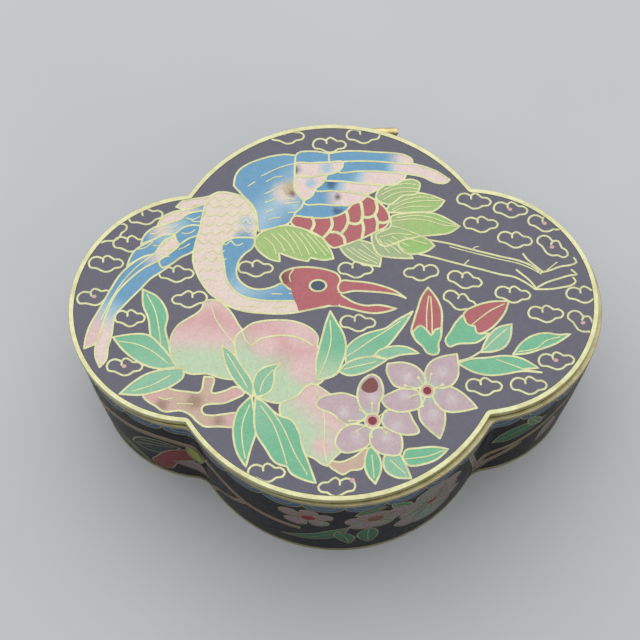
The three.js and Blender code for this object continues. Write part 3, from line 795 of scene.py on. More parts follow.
def leaves(picture):
    blade = fade((-38, 3), (-33, -12), LEAF, LEAF, LEAF_PALE)
    leaf(picture, [*tip(-38.3, 3.6), (-38.1, 0), (-37, -3), (-36.6, -6), (-36, -9), (-34.5, -11),
        *tip(-32.2, -12.5), (-33, -8), (-33.6, -5.5), (-33.2, -2.5), (-34, 0), (-35.5, 2)], blade,
        [(-37.4, 2.4), (-35.8, -1), (-34.9, -5), (-34.4, -9)])
    leaf(picture, [*tip(-43.9, -6.9), (-41, -6.4), (-37, -6.6), (-34, -9.5), *tip(-31.2, -13.6),
        (-34, -14), (-36.5, -13.5), (-39.5, -11.8), (-42, -9.5)], blade, [(-42.6, -7.8),
        (-39, -8.6), (-36, -10.2), (-33, -12.8)])
    leaf(picture, [*tip(-42.2, -19.1), (-40, -17), (-37, -15), (-34, -14.2), *tip(-30, -14),
        (-29.8, -15.4), (-32, -17.6), (-35, -18.8), (-38, -19.4)], blade, [(-39.6, -18.6),
        (-36, -17.4), (-32.5, -15.5)])
    leaf(picture, [*tip(-22.4, -9.2), (-20.4, -10.8), (-18.4, -14), (-16.4, -17.6),
        *tip(-16.4, -20.4), (-18.4, -18.8), (-20.8, -15.4), (-22, -12)], flat(LEAF_PALE),
        [(-21.4, -11), (-19.4, -14.6), (-17.4, -18.4)])
    leaf(picture, [*tip(-15.8, -20.4), (-16.3, -18), (-15.9, -16), (-15, -14.8), *tip(-10.7, -13.4),
        (-12, -14.8), (-12.2, -17), (-12.8, -19), (-14.4, -20.2)], flat(LEAF_PALE), [(-15, -19.4),
        (-14.2, -17), (-12.4, -14.8)])
    leaf(picture, [*tip(-16.6, -20.2), (-19.2, -23), (-20.1, -26), (-20.1, -29), (-19.4, -32),
        *tip(-17.8, -34.8), (-16.8, -31), (-15.9, -28), (-16, -25)], flat(LEAF), [(-17, -22),
        (-18.4, -26), (-18.4, -30), (-17.9, -33)])
    green = fade((-16, -22), (-6, -37), LEAF_PALE, LEAF, LEAF)
    leaf(picture, [*tip(-15.8, -20.6), (-14, -21.8), (-12.5, -23.5), (-11, -24.6), (-9.2, -25.3),
        (-7.6, -28), (-7, -31), (-6, -34), *tip(-4.6, -38.4), (-7, -37.6), (-9.5, -36),
        *tip(-10, -34.9), (-12, -34.2), (-14, -31.2), (-15.8, -28), (-16.1, -23.6)], green,
        [(-14.8, -22.4), (-12.6, -26), (-11, -30.6), (-10, -34.4)], [(-13, -22.8), (-10.6, -27),
        (-8.4, -32.4), (-6.2, -36.6)])
    leaf(picture, [*tip(-0.8, -2.3), (-1.8, -5), (-2.6, -8), (-3.3, -10.5), (-3.9, -13),
        *tip(-4, -17.2), (-2, -16.9), (0, -16), (1, -14), (1.8, -12), (2, -9), (1.5, -7),
        (0.5, -5)], fade((0, -3), (-3, -17), LEAF, LEAF, PEACH_GREEN), [(-0.9, -4.4), (-0.9, -9),
        (-2, -13), (-3.6, -16.6)])
    leaf(picture, [*tip(15.6, -2.8), (12, -4.9), (10, -6.4), (8.5, -6.8), (6, -7.5), (3.5, -9),
        (2.2, -10.4), *tip(1.9, -13.6), (5, -13.1), (8, -12), (10.5, -10), (12.5, -7.5),
        (14.3, -5)], fade((2, -12), (15, -3), LEAF_PALE, LEAF, LEAF_PALE), [(2.3, -12.2),
        (5, -10.4), (7.5, -8.6), (10, -7), (13, -4.9)])
    leaf(picture, [*tip(7.6, -12.1), (8.5, -11.2), (11, -10.4), (14, -10.6), *tip(16.4, -12),
        (12.5, -12.3), (10, -13)], flat(LEAF_PALE))
    leaf(picture, [*tip(0.4, -15.4), (2, -13.8), (4, -12.9), (7, -12.5), *tip(10.1, -13.2),
        (7.5, -14.8), (5, -16), (2, -16.3)], flat(LEAF_PALE), [(1.6, -15), (4.6, -14.3),
        (7.8, -13.6)])
    leaf(picture, [*tip(12, -33.8), (12.6, -32.3), (15, -31.9), (18, -31.7), *tip(20.8, -32.2),
        (18.5, -34.2), (16, -35.1), (12.9, -35.2)], flat(LEAF), [(12.6, -34), (17, -33.5),
        (19.8, -32.5)])
    leaf(picture, [(6, -31.4), (7.4, -33), (7.8, -36), *tip(6.6, -38.8), (5.2, -37), (4.8, -34)],
         flat(LEAF), [(6.2, -33), (6.4, -37.6)])
    leaf(picture, [(8.7, -33.2), (11.5, -33.1), (12.5, -35.2), *tip(13.4, -37.9), (10.5, -37.6),
        (8.6, -36.2)], flat(LEAF_PALE), [(9.6, -34.2), (12.4, -37)])
    picture.path([(23.4, -14), (26, -13.4), (28.6, -11.9)])
    leaf(picture, [*tip(28.6, -12.1), (29.4, -10.2), (30.6, -8.3), (32, -7), *tip(35.1, -6.1),
        (34.6, -9), (33.4, -11), (31, -12)], flat(LEAF_PALE), [(29.2, -11.6), (31.4, -9.4),
        (34, -7.2)])
    leaf(picture, [*tip(34.8, -12.8), (36.5, -10.5), (39, -8.8), (42, -8.3), (44, -8.7),
        *tip(46.6, -8.6), (43.5, -10.6), (40.5, -11.7), (37.5, -12.6)], flat(LEAF), [(36, -12.2),
        (39.8, -11.4), (41.5, -10), (44.4, -9.2)])
    leaf(picture, [*tip(23.8, -14.4), (26, -13.6), (30, -13.3), (33, -13), (36, -13.5),
        *tip(39.6, -15.8), (36.6, -16), *tip(40.2, -16.8), (36, -16.4), (33, -16.9), (30, -17.1),
        (27, -16.4)], flat(LEAF), [(31.5, -13.8), (34, -14.8), (36.6, -16)])


def buds(picture):
    picture.cell([*tip(19, 2.5), (17.6, 0.5), (16.7, -2), (15.7, -5), (15.1, -7.2), (15.8, -9),
        (17.3, -10.7), (17.9, -11.9), (19, -12.4), (20.1, -12.1), (20.3, -10), (20.9, -8.5),
        (21.2, -6), (21.4, -3), (20.8, -0.5), (20, 1)], flat(RED))
    picture.cell([*tip(15.3, -7.4), (17, -6), (18.2, -7), (19, -8.2), (19.8, -7), *tip(20.9, -6.6),
        (20.9, -8.5), (20.3, -10), (20.1, -12.1), (19, -12.4), (17.9, -11.9), (17.3, -10.7),
        (15.9, -9.2)], flat(LEAF))
    picture.path([(19, 0.6), (18.4, -3), (18.2, -6.6)], FINE_WIRE)
    picture.path([(19.4, 0.4), (19.4, -4), (19.2, -7.6)], FINE_WIRE)
    picture.cell([*tip(35, -1), (31, -1.1), (28.5, -1.8), (26, -3.2), (25.4, -5.6), (26.6, -8),
        (28.5, -8.1), (30.5, -7.3), (32.5, -5.5), (34, -3.5)], flat(RED))
    picture.path([(26.6, -6.6), (28.5, -5), (31, -3.1), (34, -1.6)], FINE_WIRE)
    picture.cell([*tip(25.6, -3.8), (24, -5.5), (22.8, -7.5), (21.7, -9.5), (22.3, -10.7),
        (24, -10.2), (28, -9.9), *tip(30.6, -8), (28, -7.8), *tip(27.8, -6.4), (26.4, -6)],
        flat(LEAF))


STAMEN_START, STAMEN_HEAD = 1.2, 0.35


def blossom(picture, x, y, petals, stamens, centre):
    """Petals, pink at their edge and mint by the centre, with stamens and a red eye."""
    for petal in petals:
        far = max(petal, key=lambda p: math.dist(p, (x, y)))
        paint = fade((x, y), far, PETAL_MINT, PETAL, PETAL, PETAL)
        middle = ((x + far[0]) / 2, (y + far[1]) / 2)
        picture.cell(petal, touched(paint, (*middle, 1.5, PETAL_PALE)))
    for angle, reach in stamens:
        a = math.radians(angle)
        end = (x + reach * math.cos(a), y + reach * math.sin(a))
        start = (x + STAMEN_START * math.cos(a), y + STAMEN_START * math.sin(a))
        picture.path([start, end], FINE_WIRE)
        picture.shape(ring(*end, STAMEN_HEAD, count=8), None)
    picture.dot(x, y, centre, flat(ROSE), WIRE)
    picture.shape(ring(x, y, centre * 0.6, count=10), flat(DARK_RED))


def blossoms(picture):
    first = (
        [(20.5, -21), (20.6, -24.2), (20.6, -26), (20.2, -28), *tip(19.3, -30), (17.2, -28),
         (15.8, -26), (15.6, -24), (15.8, -21)],
        [(15.6, -20), (12.6, -19.5), (10.5, -20.3), (8.6, -21.6), (9, -22.8), (11.5, -24.3),
         (13.8, -24.2), (16, -23.4)],
        [(18.6, -20), (22, -19.3), (24, -20.5), (25.5, -22), *tip(26.9, -23.9), (24, -24.5),
         (21.5, -24.6), (20, -24)],
        [(17.6, -18.6), (17.3, -16.2), (18.5, -14), (21, -12.8), *tip(23.8, -12.4), (23.9, -15),
         (23.6, -17.3), (22, -19.2), (20, -19.6)],
        [(15, -19.6), (12.8, -19.4), (11.2, -18.8), (10.2, -17), (9.8, -15.5), *tip(10.1, -14.1),
         (13, -13.9), (15.2, -14.6), (16.8, -16.2), (17.2, -18.4)],
    )
    second = (
        [(1.4, -26.6), (-0.8, -24.6), (-4.2, -22.2), (-3.2, -20.9), (-1, -20.3), (1, -20.1),
         (3.4, -20.9), (5.4, -22), (6, -24.4)],
        [(5, -27), (3.2, -26.6), (0.8, -27.4), (-0.6, -31), (0.3, -32.1), (4, -31.9), (5.8, -30.8),
         (6.6, -28)],
        [(6.4, -28), (6, -30.6), (7, -32.2), (9, -33.1), (11.5, -33), (12.1, -31), (11.8, -29),
         (9.6, -27.6)],
        [(8.4, -26.2), (11.8, -28.9), (15.4, -28.6), (14.3, -26), (13.6, -24.4), (12, -24.2),
         (9.2, -24)],
        [(5.6, -24.6), (4.2, -22.6), (3.9, -20.6), (4.2, -19), (5, -17.5), (7, -16.3), (8.2, -17),
         (8.9, -19), (8.9, -20.6), (8, -22.4), (7.6, -24.6)],
    )
    stamens = ((20, 3.2), (75, 3.6), (120, 3.2), (165, 4.4), (200, 3.8), (250, 3.4), (300, 3.6))
    blossom(picture, 6.6, -26, second, [(a + 14, r) for a, r in stamens], 1.5)
    sepal = [(4.7, -19.2), (5.4, -17.8), (7, -16.9), (8, -18.2), (7.8, -19.6), (6.2, -20.2)]
    picture.patch(sepal, flat(BROWN))
    blossom(picture, 17.5, -20, first, stamens, 1.4)


PICTURE_GAP = 0.05  # between the picture's edge and the rim


def lid_picture():
    picture = Drawing(lid_outline.loop(RIM_WIDTH + PICTURE_GAP), flat(GROUND_AND_SHEEN))
    for part in (
        clouds, legs, tail, left_wing, small_feathers, right_wing, scales, thigh, neck_and_body,
        head, branch, peaches, leaves, blossoms, buds,
    ):
        part(picture)
    return picture


# ---- The wall's picture ----
# It is drawn unrolled: the distance round from the middle of the front, and the height.

SHEET_STEP = 1.0
FOLD = 0.01  # half the width of a fold where the wall steps into the hinge's recess
FOLD_REACH = (12, 17)  # how far the folds run on either side of the hinge
WALL_WIRE, PETAL_WIRE = 0.32, 0.22
BOUGH_STEP = 1.2
LAPPETS = 36  # blue scallops hanging from the rim
LAPPET_DROP, RIB_DROP = 3.0, 1.6
LAPPET_EDGE = ((0.5, 1.6), (1.6, 2.5))  # in from a lappet's side, and down from the rim
LAPPET_RIB = ((1.7, 0), (2.4, 1.1))
EVEN_PETALS = (18, 90, 162, 234, 306)


def strip_outline(left, right, low, high):
    """A rectangle with points along its long sides."""
    count = max(1, math.ceil((right - left) / SHEET_STEP))
    along = [left + (right - left) * k / count for k in range(count + 1)]
    return [(s, low) for s in along] + [(s, high) for s in reversed(along)]


def recess_start():
    """The distance round, on the left of the hinge, where its recess begins."""
    start = -body_outline.length / 2
    while body_outline.at(start)[0][0] > SEAT_LEFT:
        start += FOLD
    return start


def lappets(picture):
    """Blue scallops under the rim, each with a rib."""
    width = body_outline.length / LAPPETS
    for k in range(1, LAPPETS - 1):  # the hinge is where the first and the last would be
        left = (k - LAPPETS / 2) * width
        middle, right = left + width / 2, left + width
        edge, rib = (
            [(left + a, WALL_HIGH - b) for a, b in half]
            + [(middle, WALL_HIGH - drop)]
            + [(right - a, WALL_HIGH - b) for a, b in reversed(half)]
            for half, drop in ((LAPPET_EDGE, LAPPET_DROP), (LAPPET_RIB, RIB_DROP))
        )
        outline = [*tip(left, WALL_HIGH), *edge, *tip(right, WALL_HIGH)]
        picture.cell(outline, flat(SCALLOP_BLUE), WALL_WIRE)
        picture.path(rib, WALL_WIRE)


def bough(picture, line, start_width, end_width, paint):
    """A tapering branch along a line."""
    line = flow(line, step=BOUGH_STEP)
    left, right = [], []
    for i, (x, y) in enumerate(line):
        a, b = line[max(i - 1, 0)], line[min(i + 1, len(line) - 1)]
        length = math.dist(a, b)
        half = (start_width + (end_width - start_width) * i / (len(line) - 1)) / 2
        nx, ny = (a[1] - b[1]) / length * half, (b[0] - a[0]) / length * half
        left.append((x + nx, y + ny))
        right.append((x - nx, y - ny))
    outline = left + right[::-1]
    picture.shape(outline, paint)
    picture.wire(outline + outline[:1], WALL_WIRE)


def wall_leaf(picture, base, end, width, paint, bow=0.0):
    """A pointed leaf from its base to its end, bowed to one side, with a vein."""
    dx, dy = end[0] - base[0], end[1] - base[1]
    length = math.hypot(dx, dy)
    ux, uy = dx / length, dy / length

    def at(along, across):
        across += bow * math.sin(math.pi * along)
        return (base[0] + dx * along - uy * across, base[1] + dy * along + ux * across)

    half = width / 2
    picture.cell([*tip(*base), at(0.25, 0.8 * half), at(0.5, half), at(0.8, 0.6 * half), *tip(*end),
        at(0.8, -0.5 * half), at(0.5, -half), at(0.25, -0.9 * half)], paint, WALL_WIRE)
    picture.path([at(0.06, 0), at(0.35, 0), at(0.65, 0), at(0.9, 0)], VEIN_WIRE)


PETAL_RIB = 0.62  # how far a petal's rib reaches
WALL_PETAL_SHAPE = (
    (0.1, 0), (0.35, 0.2), (0.62, 0.36), (0.88, 0.3), (1, 0.06), (0.97, -0.14), (0.82, -0.34),
    (0.58, -0.34), (0.32, -0.18),
)


def wall_blossom(picture, x, y, petals, paint, centre=1.1, eye=DARK_RED):
    """Petals given as (angle, reach) round a red eye."""
    for angle, reach in petals:
        a = math.radians(angle)
        cos, sin = math.cos(a), math.sin(a)
        outline = [
            (x + (px * cos - py * sin) * reach, y + (px * sin + py * cos) * reach)
            for px, py in WALL_PETAL_SHAPE
        ]
        picture.cell(outline, paint, WALL_WIRE)
        far = (x + cos * reach * PETAL_RIB, y + sin * reach * PETAL_RIB)
        picture.path([(x + cos * centre, y + sin * centre), far], PETAL_WIRE)
    picture.dot(x, y, centre, flat(eye))


def front_of_wall(picture):
    """What the front shows: a flowering branch that comes round from the left."""
    bark = fade((-66, 0), (-10, 0), WALL_PINK, WALL_BARK, WALL_PINK, WALL_BARK)
    bough(picture, [(-66, 1.6), (-63, 10), (-60, 16), (-57, 20.4), (-53, 22.6), (-48, 23.7),
        (-43, 24.6), (-39, 24), (-36.5, 22.8), (-33.5, 23), (-30, 23.2), (-27, 21.8), (-24, 19.6),
        (-21.5, 17.9), (-18, 17), (-14, 16.3), (-9, 15.6)], 2.0, 1.7, bark)
    bough(picture, [(-21.6, 17), (-24, 14), (-26.5, 11.8), (-29.5, 9), (-31.5, 5.6), (-33, 1.8)],
          1.3, 0.9, flat(WALL_BARK))
    # Left lobe: a dark leaf, a red flower with a pale petal, and a long green leaf by the foot.
    picture.cell([*tip(-50.5, 12), (-48.6, 17), (-46, 20.4), (-42, 22.2), *tip(-38, 20.8),
        (-40, 17.6), (-43.4, 14), (-47, 12)], flat(LEAF_NIGHT), WALL_WIRE)
    picture.path([(-49, 13.6), (-46, 16.6), (-42, 19.4), (-39.4, 20.6)], VEIN_WIRE)
    picture.path([(-47.6, 17.4), (-44, 20), (-40.6, 21.2)], VEIN_WIRE)
    picture.cell([*tip(-37, 20), (-35.8, 17), (-36, 13.6), (-39, 11.8), (-40.4, 8), (-42, 4),
        *tip(-45.6, 1.6), (-46.4, 5), (-44.6, 10), (-42.4, 15), (-40, 18.4)], flat(WALL_RED),
        WALL_WIRE)
    picture.cell([*tip(-41, 10.4), (-38.4, 11.6), (-36, 12.6), (-34, 11), (-33.6, 7.6), (-35, 6),
        (-37.6, 8)], flat(WALL_PETAL), WALL_WIRE)
    picture.path([(-39.8, 10.2), (-37, 10.2), (-34.6, 8.8)], VEIN_WIRE)
    picture.cell([*tip(-36.8, 22), (-34.4, 20.8), (-32.4, 21.4), *tip(-30.4, 25.8), (-33.4, 18),
        *tip(-35, 12.8), (-36.4, 16)], flat(YELLOW_GREEN), WALL_WIRE)
    wall_leaf(picture, (-57.4, 10.4), (-46.8, 1.8), 3.2, fade((-57, 10), (-47, 2), LEAF_WALL_PALE,
        LEAF_WALL), 0.8)
    wall_leaf(picture, (-61.4, 20), (-59, 27.6), 2.6, flat(LEAF_WALL), -0.6)
    # Front lobe: three blossoms over leaves.
    wall_leaf(picture, (1.4, 19.2), (-13.4, 7.6), 4.2, flat(LEAF_WALL), 2.2)
    wall_leaf(picture, (-1.4, 16), (1.4, 5.6), 3.6, flat(LEAF_WALL), 0.6)
    wall_leaf(picture, (5.4, 17.2), (5.8, 5.2), 4.4, flat(LEAF_WALL), -0.4)
    wall_leaf(picture, (2.2, 26.4), (8.6, 29.4), 2.6, flat(LEAF_WALL), 0.7)
    wall_leaf(picture, (13.8, 24.6), (9.4, 30.2), 2.8, flat(LEAF_WALL_PALE), 0.3)
    mixed = touched(fade((10, 0), (27, 0), WALL_PETAL, WALL_MINT, WALL_PETAL),
        (16, 18, 4, WALL_MINT), (21, 26, 4, WALL_PETAL))
    wall_blossom(picture, 19, 19.6, ((8, 6.4), (58, 9.4), (96, 10), (140, 7.6), (190, 7.4),
        (236, 11), (276, 12.4), (316, 9)), mixed, 1.4)
    wall_blossom(picture, 6.3, 23, ((16, 6.6), (74, 4.4), (128, 4.6), (182, 6), (236, 6.8),
        (290, 6.6), (338, 6)), touched(flat(WALL_PETAL), (9, 20, 3, WALL_MINT),
        (3, 21, 2, WALL_MINT)), 1.9, WALL_BROWN)
    wall_blossom(picture, -7, 24.2, ((20, 5), (88, 4.9), (160, 6.2), (232, 6.4), (306, 5.4)),
        touched(flat(WALL_PETAL), (-3.6, 21, 2.2, WALL_MINT)), 1.6)
    # Right lobe: a forked branch with a green leaf.
    bough(picture, [(27.6, 31), (29, 26), (31, 19.6), (33.4, 12), (35.2, 5.4)], 0.9, 1.4,
          flat(WALL_BARK))
    bough(picture, [(35, 3.4), (36.4, 7), (38.4, 9.6), (41, 12.2), (43, 15)], 1.7, 1.6,
          flat(WALL_BARK))
    bough(picture, [(34.8, 6.6), (35.8, 11.6), (38, 13.8), (41, 15.2), (44.4, 17.4), (47.6, 19.6),
        (51, 22.6), (55, 25.2), (60, 27)], 1.4, 1.7, fade((36, 12), (58, 27), WALL_BARK, WALL_GOLD,
        WALL_BARK, WALL_PINK))
    wall_leaf(picture, (36.4, 19.8), (47.8, 25.6), 6.0, flat(LEAF_WALL), 1.0)
    wall_leaf(picture, (46.6, 23), (43, 30), 2.6, flat(LEAF_WALL_PALE), 0.2)
    wall_leaf(picture, (51, 19.6), (48.4, 8.4), 3.4, flat(WALL_PETAL), 0.5)


def spray(picture, s, z, way):
    """A plain flowering twig, for the sides that face away."""

    def at(across, up):
        return (s + across * way, z + up)

    bark, green = flat(WALL_BARK), flat(LEAF_WALL)
    bough(picture, [at(0, 0), at(4, 6), at(9, 10), at(16, 12), at(22, 17)], 1.7, 1.0, bark)
    bough(picture, [at(9, 10), at(12, 6), at(18, 4)], 1.1, 0.8, bark)
    wall_leaf(picture, at(3, 6), at(-4, 13), 3.4, green, 0.8 * way)
    wall_leaf(picture, at(11, 11.6), at(10, 20), 3.2, flat(LEAF_WALL_PALE), 0.6)
    wall_leaf(picture, at(13, 4), at(10, -1.4), 2.8, green, 0.4)
    petals = [(a + 10 * way, 4.6) for a in EVEN_PETALS]
    paint = touched(flat(WALL_PETAL), (*at(20, 4), 2.6, WALL_MINT))
    wall_blossom(picture, *at(19.5, 5.4), petals, paint)
    picture.cell(ring(*at(23, 18), 1.7, 2.2, count=8), flat(WALL_RED), WALL_WIRE)


def wall_picture():
    half = body_outline.length / 2
    picture = Drawing(strip_outline(-half, half, WALL_LOW, WALL_HIGH), flat(NIGHT))
    lappets(picture)
    front_of_wall(picture)
    for s, z, way in ((66, 4, 1), (100, 6, 1), (128, 3, 0.7), (-74, 4, -1), (-108, 3, -1)):
        spray(picture, s, z, way)
    # Folds at the edges of the hinge's recess, which lies across the ends of the sheet.
    for z in (SEAT_BARREL_Z, SEAT_LEAF_Z):
        for left, right in ((-half, -half + FOLD_REACH[0]), (half - FOLD_REACH[1], half)):
            picture.shape(strip_outline(left, right, z - FOLD, z + FOLD), flat(NIGHT))
    fold = recess_start()
    picture.shape([(fold - FOLD, SEAT_BARREL_Z), (fold + FOLD, SEAT_BARREL_Z),
        (fold + FOLD, WALL_HIGH), (fold - FOLD, WALL_HIGH)], flat(NIGHT))
    return picture


# ---- Meshes ----

PAINT = "paint"  # the colour of each face's corners
FACING = "facing"  # the normal of each face's corners
UP, DOWN = Vector((0, 0, 1)), Vector((0, 0, -1))


class Solid:
    """A mesh made in millimetres, with a colour and a normal at each corner of each face."""

    def __init__(self):
        self.bm = bmesh.new()
        self.paint = self.bm.loops.layers.float_color.new(PAINT)
        self.facing = self.bm.loops.layers.float_vector.new(FACING)

    def vertex(self, point):
        return self.bm.verts.new(Vector(point) * MM)

    def face(self, vertices, colours=None, facings=None, material=0):
        """A face; without facings it is flat."""
        try:
            made = self.bm.faces.new(vertices)
        except ValueError:  # two thin triangles on the same corners
            return
        made.material_index = material
        made.smooth = True
        if facings is None:
            made.normal_update()
            facings = [made.normal.copy()] * len(vertices)
        for i, corner in enumerate(made.loops):
            corner[self.facing] = facings[i]
            if colours:
                corner[self.paint] = (*colours[i], 1)

    def strip(self, upper, lower, facings=None, material=0, closed=True):
        """Faces between two equal rings of vertices that run counter-clockwise."""
        count = len(upper)
        for i in range(count if closed else count - 1):
            j = (i + 1) % count
            corners = (upper[i], lower[i], lower[j], upper[j])
            turned = facings and [facings[0][i], facings[1][i], facings[1][j], facings[0][j]]
            self.face(corners, facings=turned, material=material)

    def piece(self, name, materials, body, node=None):
        """The finished object, riding on its body in place of its CAD node."""
        bmesh.ops.remove_doubles(self.bm, verts=self.bm.verts, dist=WELD)
        mesh = bpy.data.meshes.new(name)
        self.bm.to_mesh(mesh)
        self.bm.free()
        normals = [tuple(item.vector) for item in mesh.attributes[FACING].data]
        mesh.attributes.remove(mesh.attributes[FACING])
        mesh.normals_split_custom_set(normals)
        for material in materials:
            mesh.materials.append(material)
        made = bpy.data.objects.new(name, mesh)
        bpy.context.scene.collection.objects.link(made)
        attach(made, body)
        if node:
            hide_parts(node)


def rim_edges(faces):
    """The edges that only one of the faces has, in that face's direction."""
    seen_edges = set()
    for face in faces:
        seen_edges.update(zip(face, face[1:] + face[:1]))
    return [(a, b) for a, b in seen_edges if (b, a) not in seen_edges]


def wires_piece(name, vertices, cells, place, body, material):
    """The wires of a drawing as one raised metal mesh."""
    faces = [tuple(t) for t, paints in cells if paints is None]
    used = sorted({i for face in faces for i in face})
    solid = Solid()
    top, foot, out = {}, {}, {}
    for i in used:
        top[i] = solid.vertex(place(*vertices[i], WIRE_PROUD)[0])
        point, out[i] = place(*vertices[i], -WIRE_DEEP)
        foot[i] = solid.vertex(point)
    for face in faces:
        solid.face([top[i] for i in face], facings=[out[i] for i in face])
        back = face[::-1]
        solid.face([foot[i] for i in back], facings=[-out[i] for i in back])
    for a, b in rim_edges(faces):
        solid.face([top[b], top[a], foot[a], foot[b]])
    solid.piece(name, [material], body)


def painted_faces(solid, vertices, cells, place, corners, under):
    """Lays the drawing's triangles on the vertices made for them."""
    for (triangle, paint), below in zip(cells, under):
        colours = [(paint or below)(*vertices[i]) for i in triangle]
        facings = [place(*vertices[i], 0)[1] for i in triangle]
        solid.face([corners[i] for i in triangle], colours, facings)


def rounded(inner, outer, low, high):
    """A rim's profile: (inset, height, outward part and upward part of the normal) all round."""
    points = []
    radius = EDGE_ROUND
    for cx, cz, turn in (
        (outer + radius, high - radius, 0),
        (inner - radius, high - radius, 1),
        (inner - radius, low + radius, 2),
        (outer + radius, low + radius, 3),
    ):
        for k in range(EDGE_STEPS + 1):
            angle = (turn + k / EDGE_STEPS) * math.pi / 2
            cos, sin = math.cos(angle), math.sin(angle)
            points.append((cx - radius * cos, cz + radius * sin, cos, sin))
    return points


def rim_piece(name, outline, at, stations, profile, body, material, node, shaped=None):
    """A metal rim with rounded edges, lofted round the outline."""
    solid = Solid()
    rings, facings = [], []
    for inset, z, outward, upward in profile:
        ring_points, ring_facings = [], []
        for s in stations:
            (x, y), (ox, oy) = outline.at(s, inset)
            if shaped:
                x, y, z = shaped(x, y, z)
            ring_points.append(solid.vertex((x + at.x, y + at.y, z)))
            ring_facings.append(Vector((ox * outward, oy * outward, upward)))
        rings.append(ring_points)
        facings.append(ring_facings)
    for k in range(len(rings)):
        j = (k + 1) % len(rings)
        solid.strip(rings[j], rings[k], (facings[j], facings[k]))
    solid.piece(name, [material], body, node)


# ---- Materials ----


class Finish:
    """A procedural material on the principled shader."""

    def __init__(self, name, **settings):
        self.material = bpy.data.materials.new(name)
        self.material.use_nodes = True
        self.tree = self.material.node_tree
        self.shader = self.tree.nodes["Principled BSDF"]
        for socket, value in settings.items():
            self.shader.inputs[socket.replace("_", " ")].default_value = value
        self.place = self.node("ShaderNodeTexCoord").outputs["Object"]

    def node(self, kind, **settings):
        made = self.tree.nodes.new(kind)
        for key, value in settings.items():
            setattr(made, key, value)
        return made

    def link(self, source, target):
        self.tree.links.new(source, target)

    def noise(self, size, detail=2.0, roughness=0.5):
        """Soft noise with features of a size in millimetres, from 0 to 1."""
        made = self.node("ShaderNodeTexNoise")
        made.inputs["Scale"].default_value = 1 / (size * MM)
        made.inputs["Detail"].default_value = detail
        made.inputs["Roughness"].default_value = roughness
        self.link(self.place, made.inputs["Vector"])
        return made.outputs["Fac"]

    def ramp(self, value, low, high, start=0.0, end=1.0):
        """The value from low to high spread from start to end."""
        made = self.node("ShaderNodeMapRange")
        sockets = ("From Min", "From Max", "To Min", "To Max")
        for socket, number in zip(sockets, (low, high, start, end)):
            made.inputs[socket].default_value = number
        self.link(value, made.inputs["Value"])
        return made.outputs["Result"]

    def mix(self, share, first, second, blend="MIX"):
        """A mix of two colours, each a socket or a plain colour."""
        made = self.node("ShaderNodeMix", data_type="RGBA", blend_type=blend)
        for index, value in ((0, share), (6, first), (7, second)):
            if isinstance(value, bpy.types.NodeSocket):
                self.link(value, made.inputs[index])
            else:
                made.inputs[index].default_value = value if index == 0 else (*value, 1)
        return made.outputs[2]

    def paint(self, socket, value):
        self.link(value, self.shader.inputs[socket])

    def bump(self, height, strength, distance):
        """Relief from a height value; distance is in millimetres."""
        made = self.node("ShaderNodeBump")
        made.inputs["Strength"].default_value = strength
        made.inputs["Distance"].default_value = distance * MM
        self.link(height, made.inputs["Height"])
        self.link(made.outputs["Normal"], self.shader.inputs["Normal"])


MIST = (0.42, 0.4, 0.42)  # over the cloudy parts of the enamel
PIT = (0.05, 0.045, 0.05)


def enamel(name, colour=None, roughness=0.3, pallor=0.3, ior=1.5, coat=0.0):
    """Fired and ground enamel: mottled, with pale grains and small open pits."""
    made = Finish(name, IOR=ior, Coat_Weight=coat)
    if colour is None:
        base = made.node("ShaderNodeAttribute", attribute_name=PAINT).outputs["Color"]
    else:
        base = colour
    cloudy = made.noise(size=2.4, detail=3.0, roughness=0.6)
    base = made.mix(made.ramp(cloudy, 0.35, 0.7, end=pallor), base, MIST, "SOFT_LIGHT")
    grain = made.noise(size=0.55, detail=3.0, roughness=0.65)
    grain = made.ramp(grain, 0.3, 0.75, start=0.9, end=1.1)
    shade = made.node("ShaderNodeCombineColor")
    for socket in ("Red", "Green", "Blue"):
        made.link(grain, shade.inputs[socket])
    base = made.mix(1.0, base, shade.outputs["Color"], "MULTIPLY")
    pits = made.ramp(made.noise(size=0.42, detail=1.0), 0.72, 0.8, end=0.55)
    made.paint("Base Color", made.mix(pits, base, PIT))
    rough = made.ramp(made.noise(size=1.3), 0.3, 0.7, start=roughness - 0.06, end=roughness + 0.1)
    made.paint("Roughness", rough)
    relief = made.noise(size=0.9, detail=3.0, roughness=0.6)
    made.bump(relief, strength=0.35, distance=0.03)
    return made.material


def metal(name, bright, dull, roughness):
    """Gilt brass, a little rubbed and tarnished."""
    made = Finish(name, Metallic=1.0)
    tarnish = made.noise(size=3.0, detail=4.0, roughness=0.6)
    made.paint("Base Color", made.mix(made.ramp(tarnish, 0.42, 0.75, end=0.8), bright, dull))
    scratches = made.noise(size=0.6, detail=3.0)
    rough = made.ramp(scratches, 0.3, 0.7, start=roughness - 0.06, end=roughness + 0.12)
    made.paint("Roughness", rough)
    relief = made.noise(size=0.35, detail=3.0, roughness=0.6)
    made.bump(relief, strength=0.25, distance=0.02)
    return made.material


picture_enamel = enamel("picture_enamel", roughness=0.34)
wall_enamel = enamel("wall_enamel", roughness=0.34, pallor=0.1, ior=1.05, coat=0.15)
counter_enamel = enamel("counter_enamel", (0.05, 0.23, 0.3), 0.22)
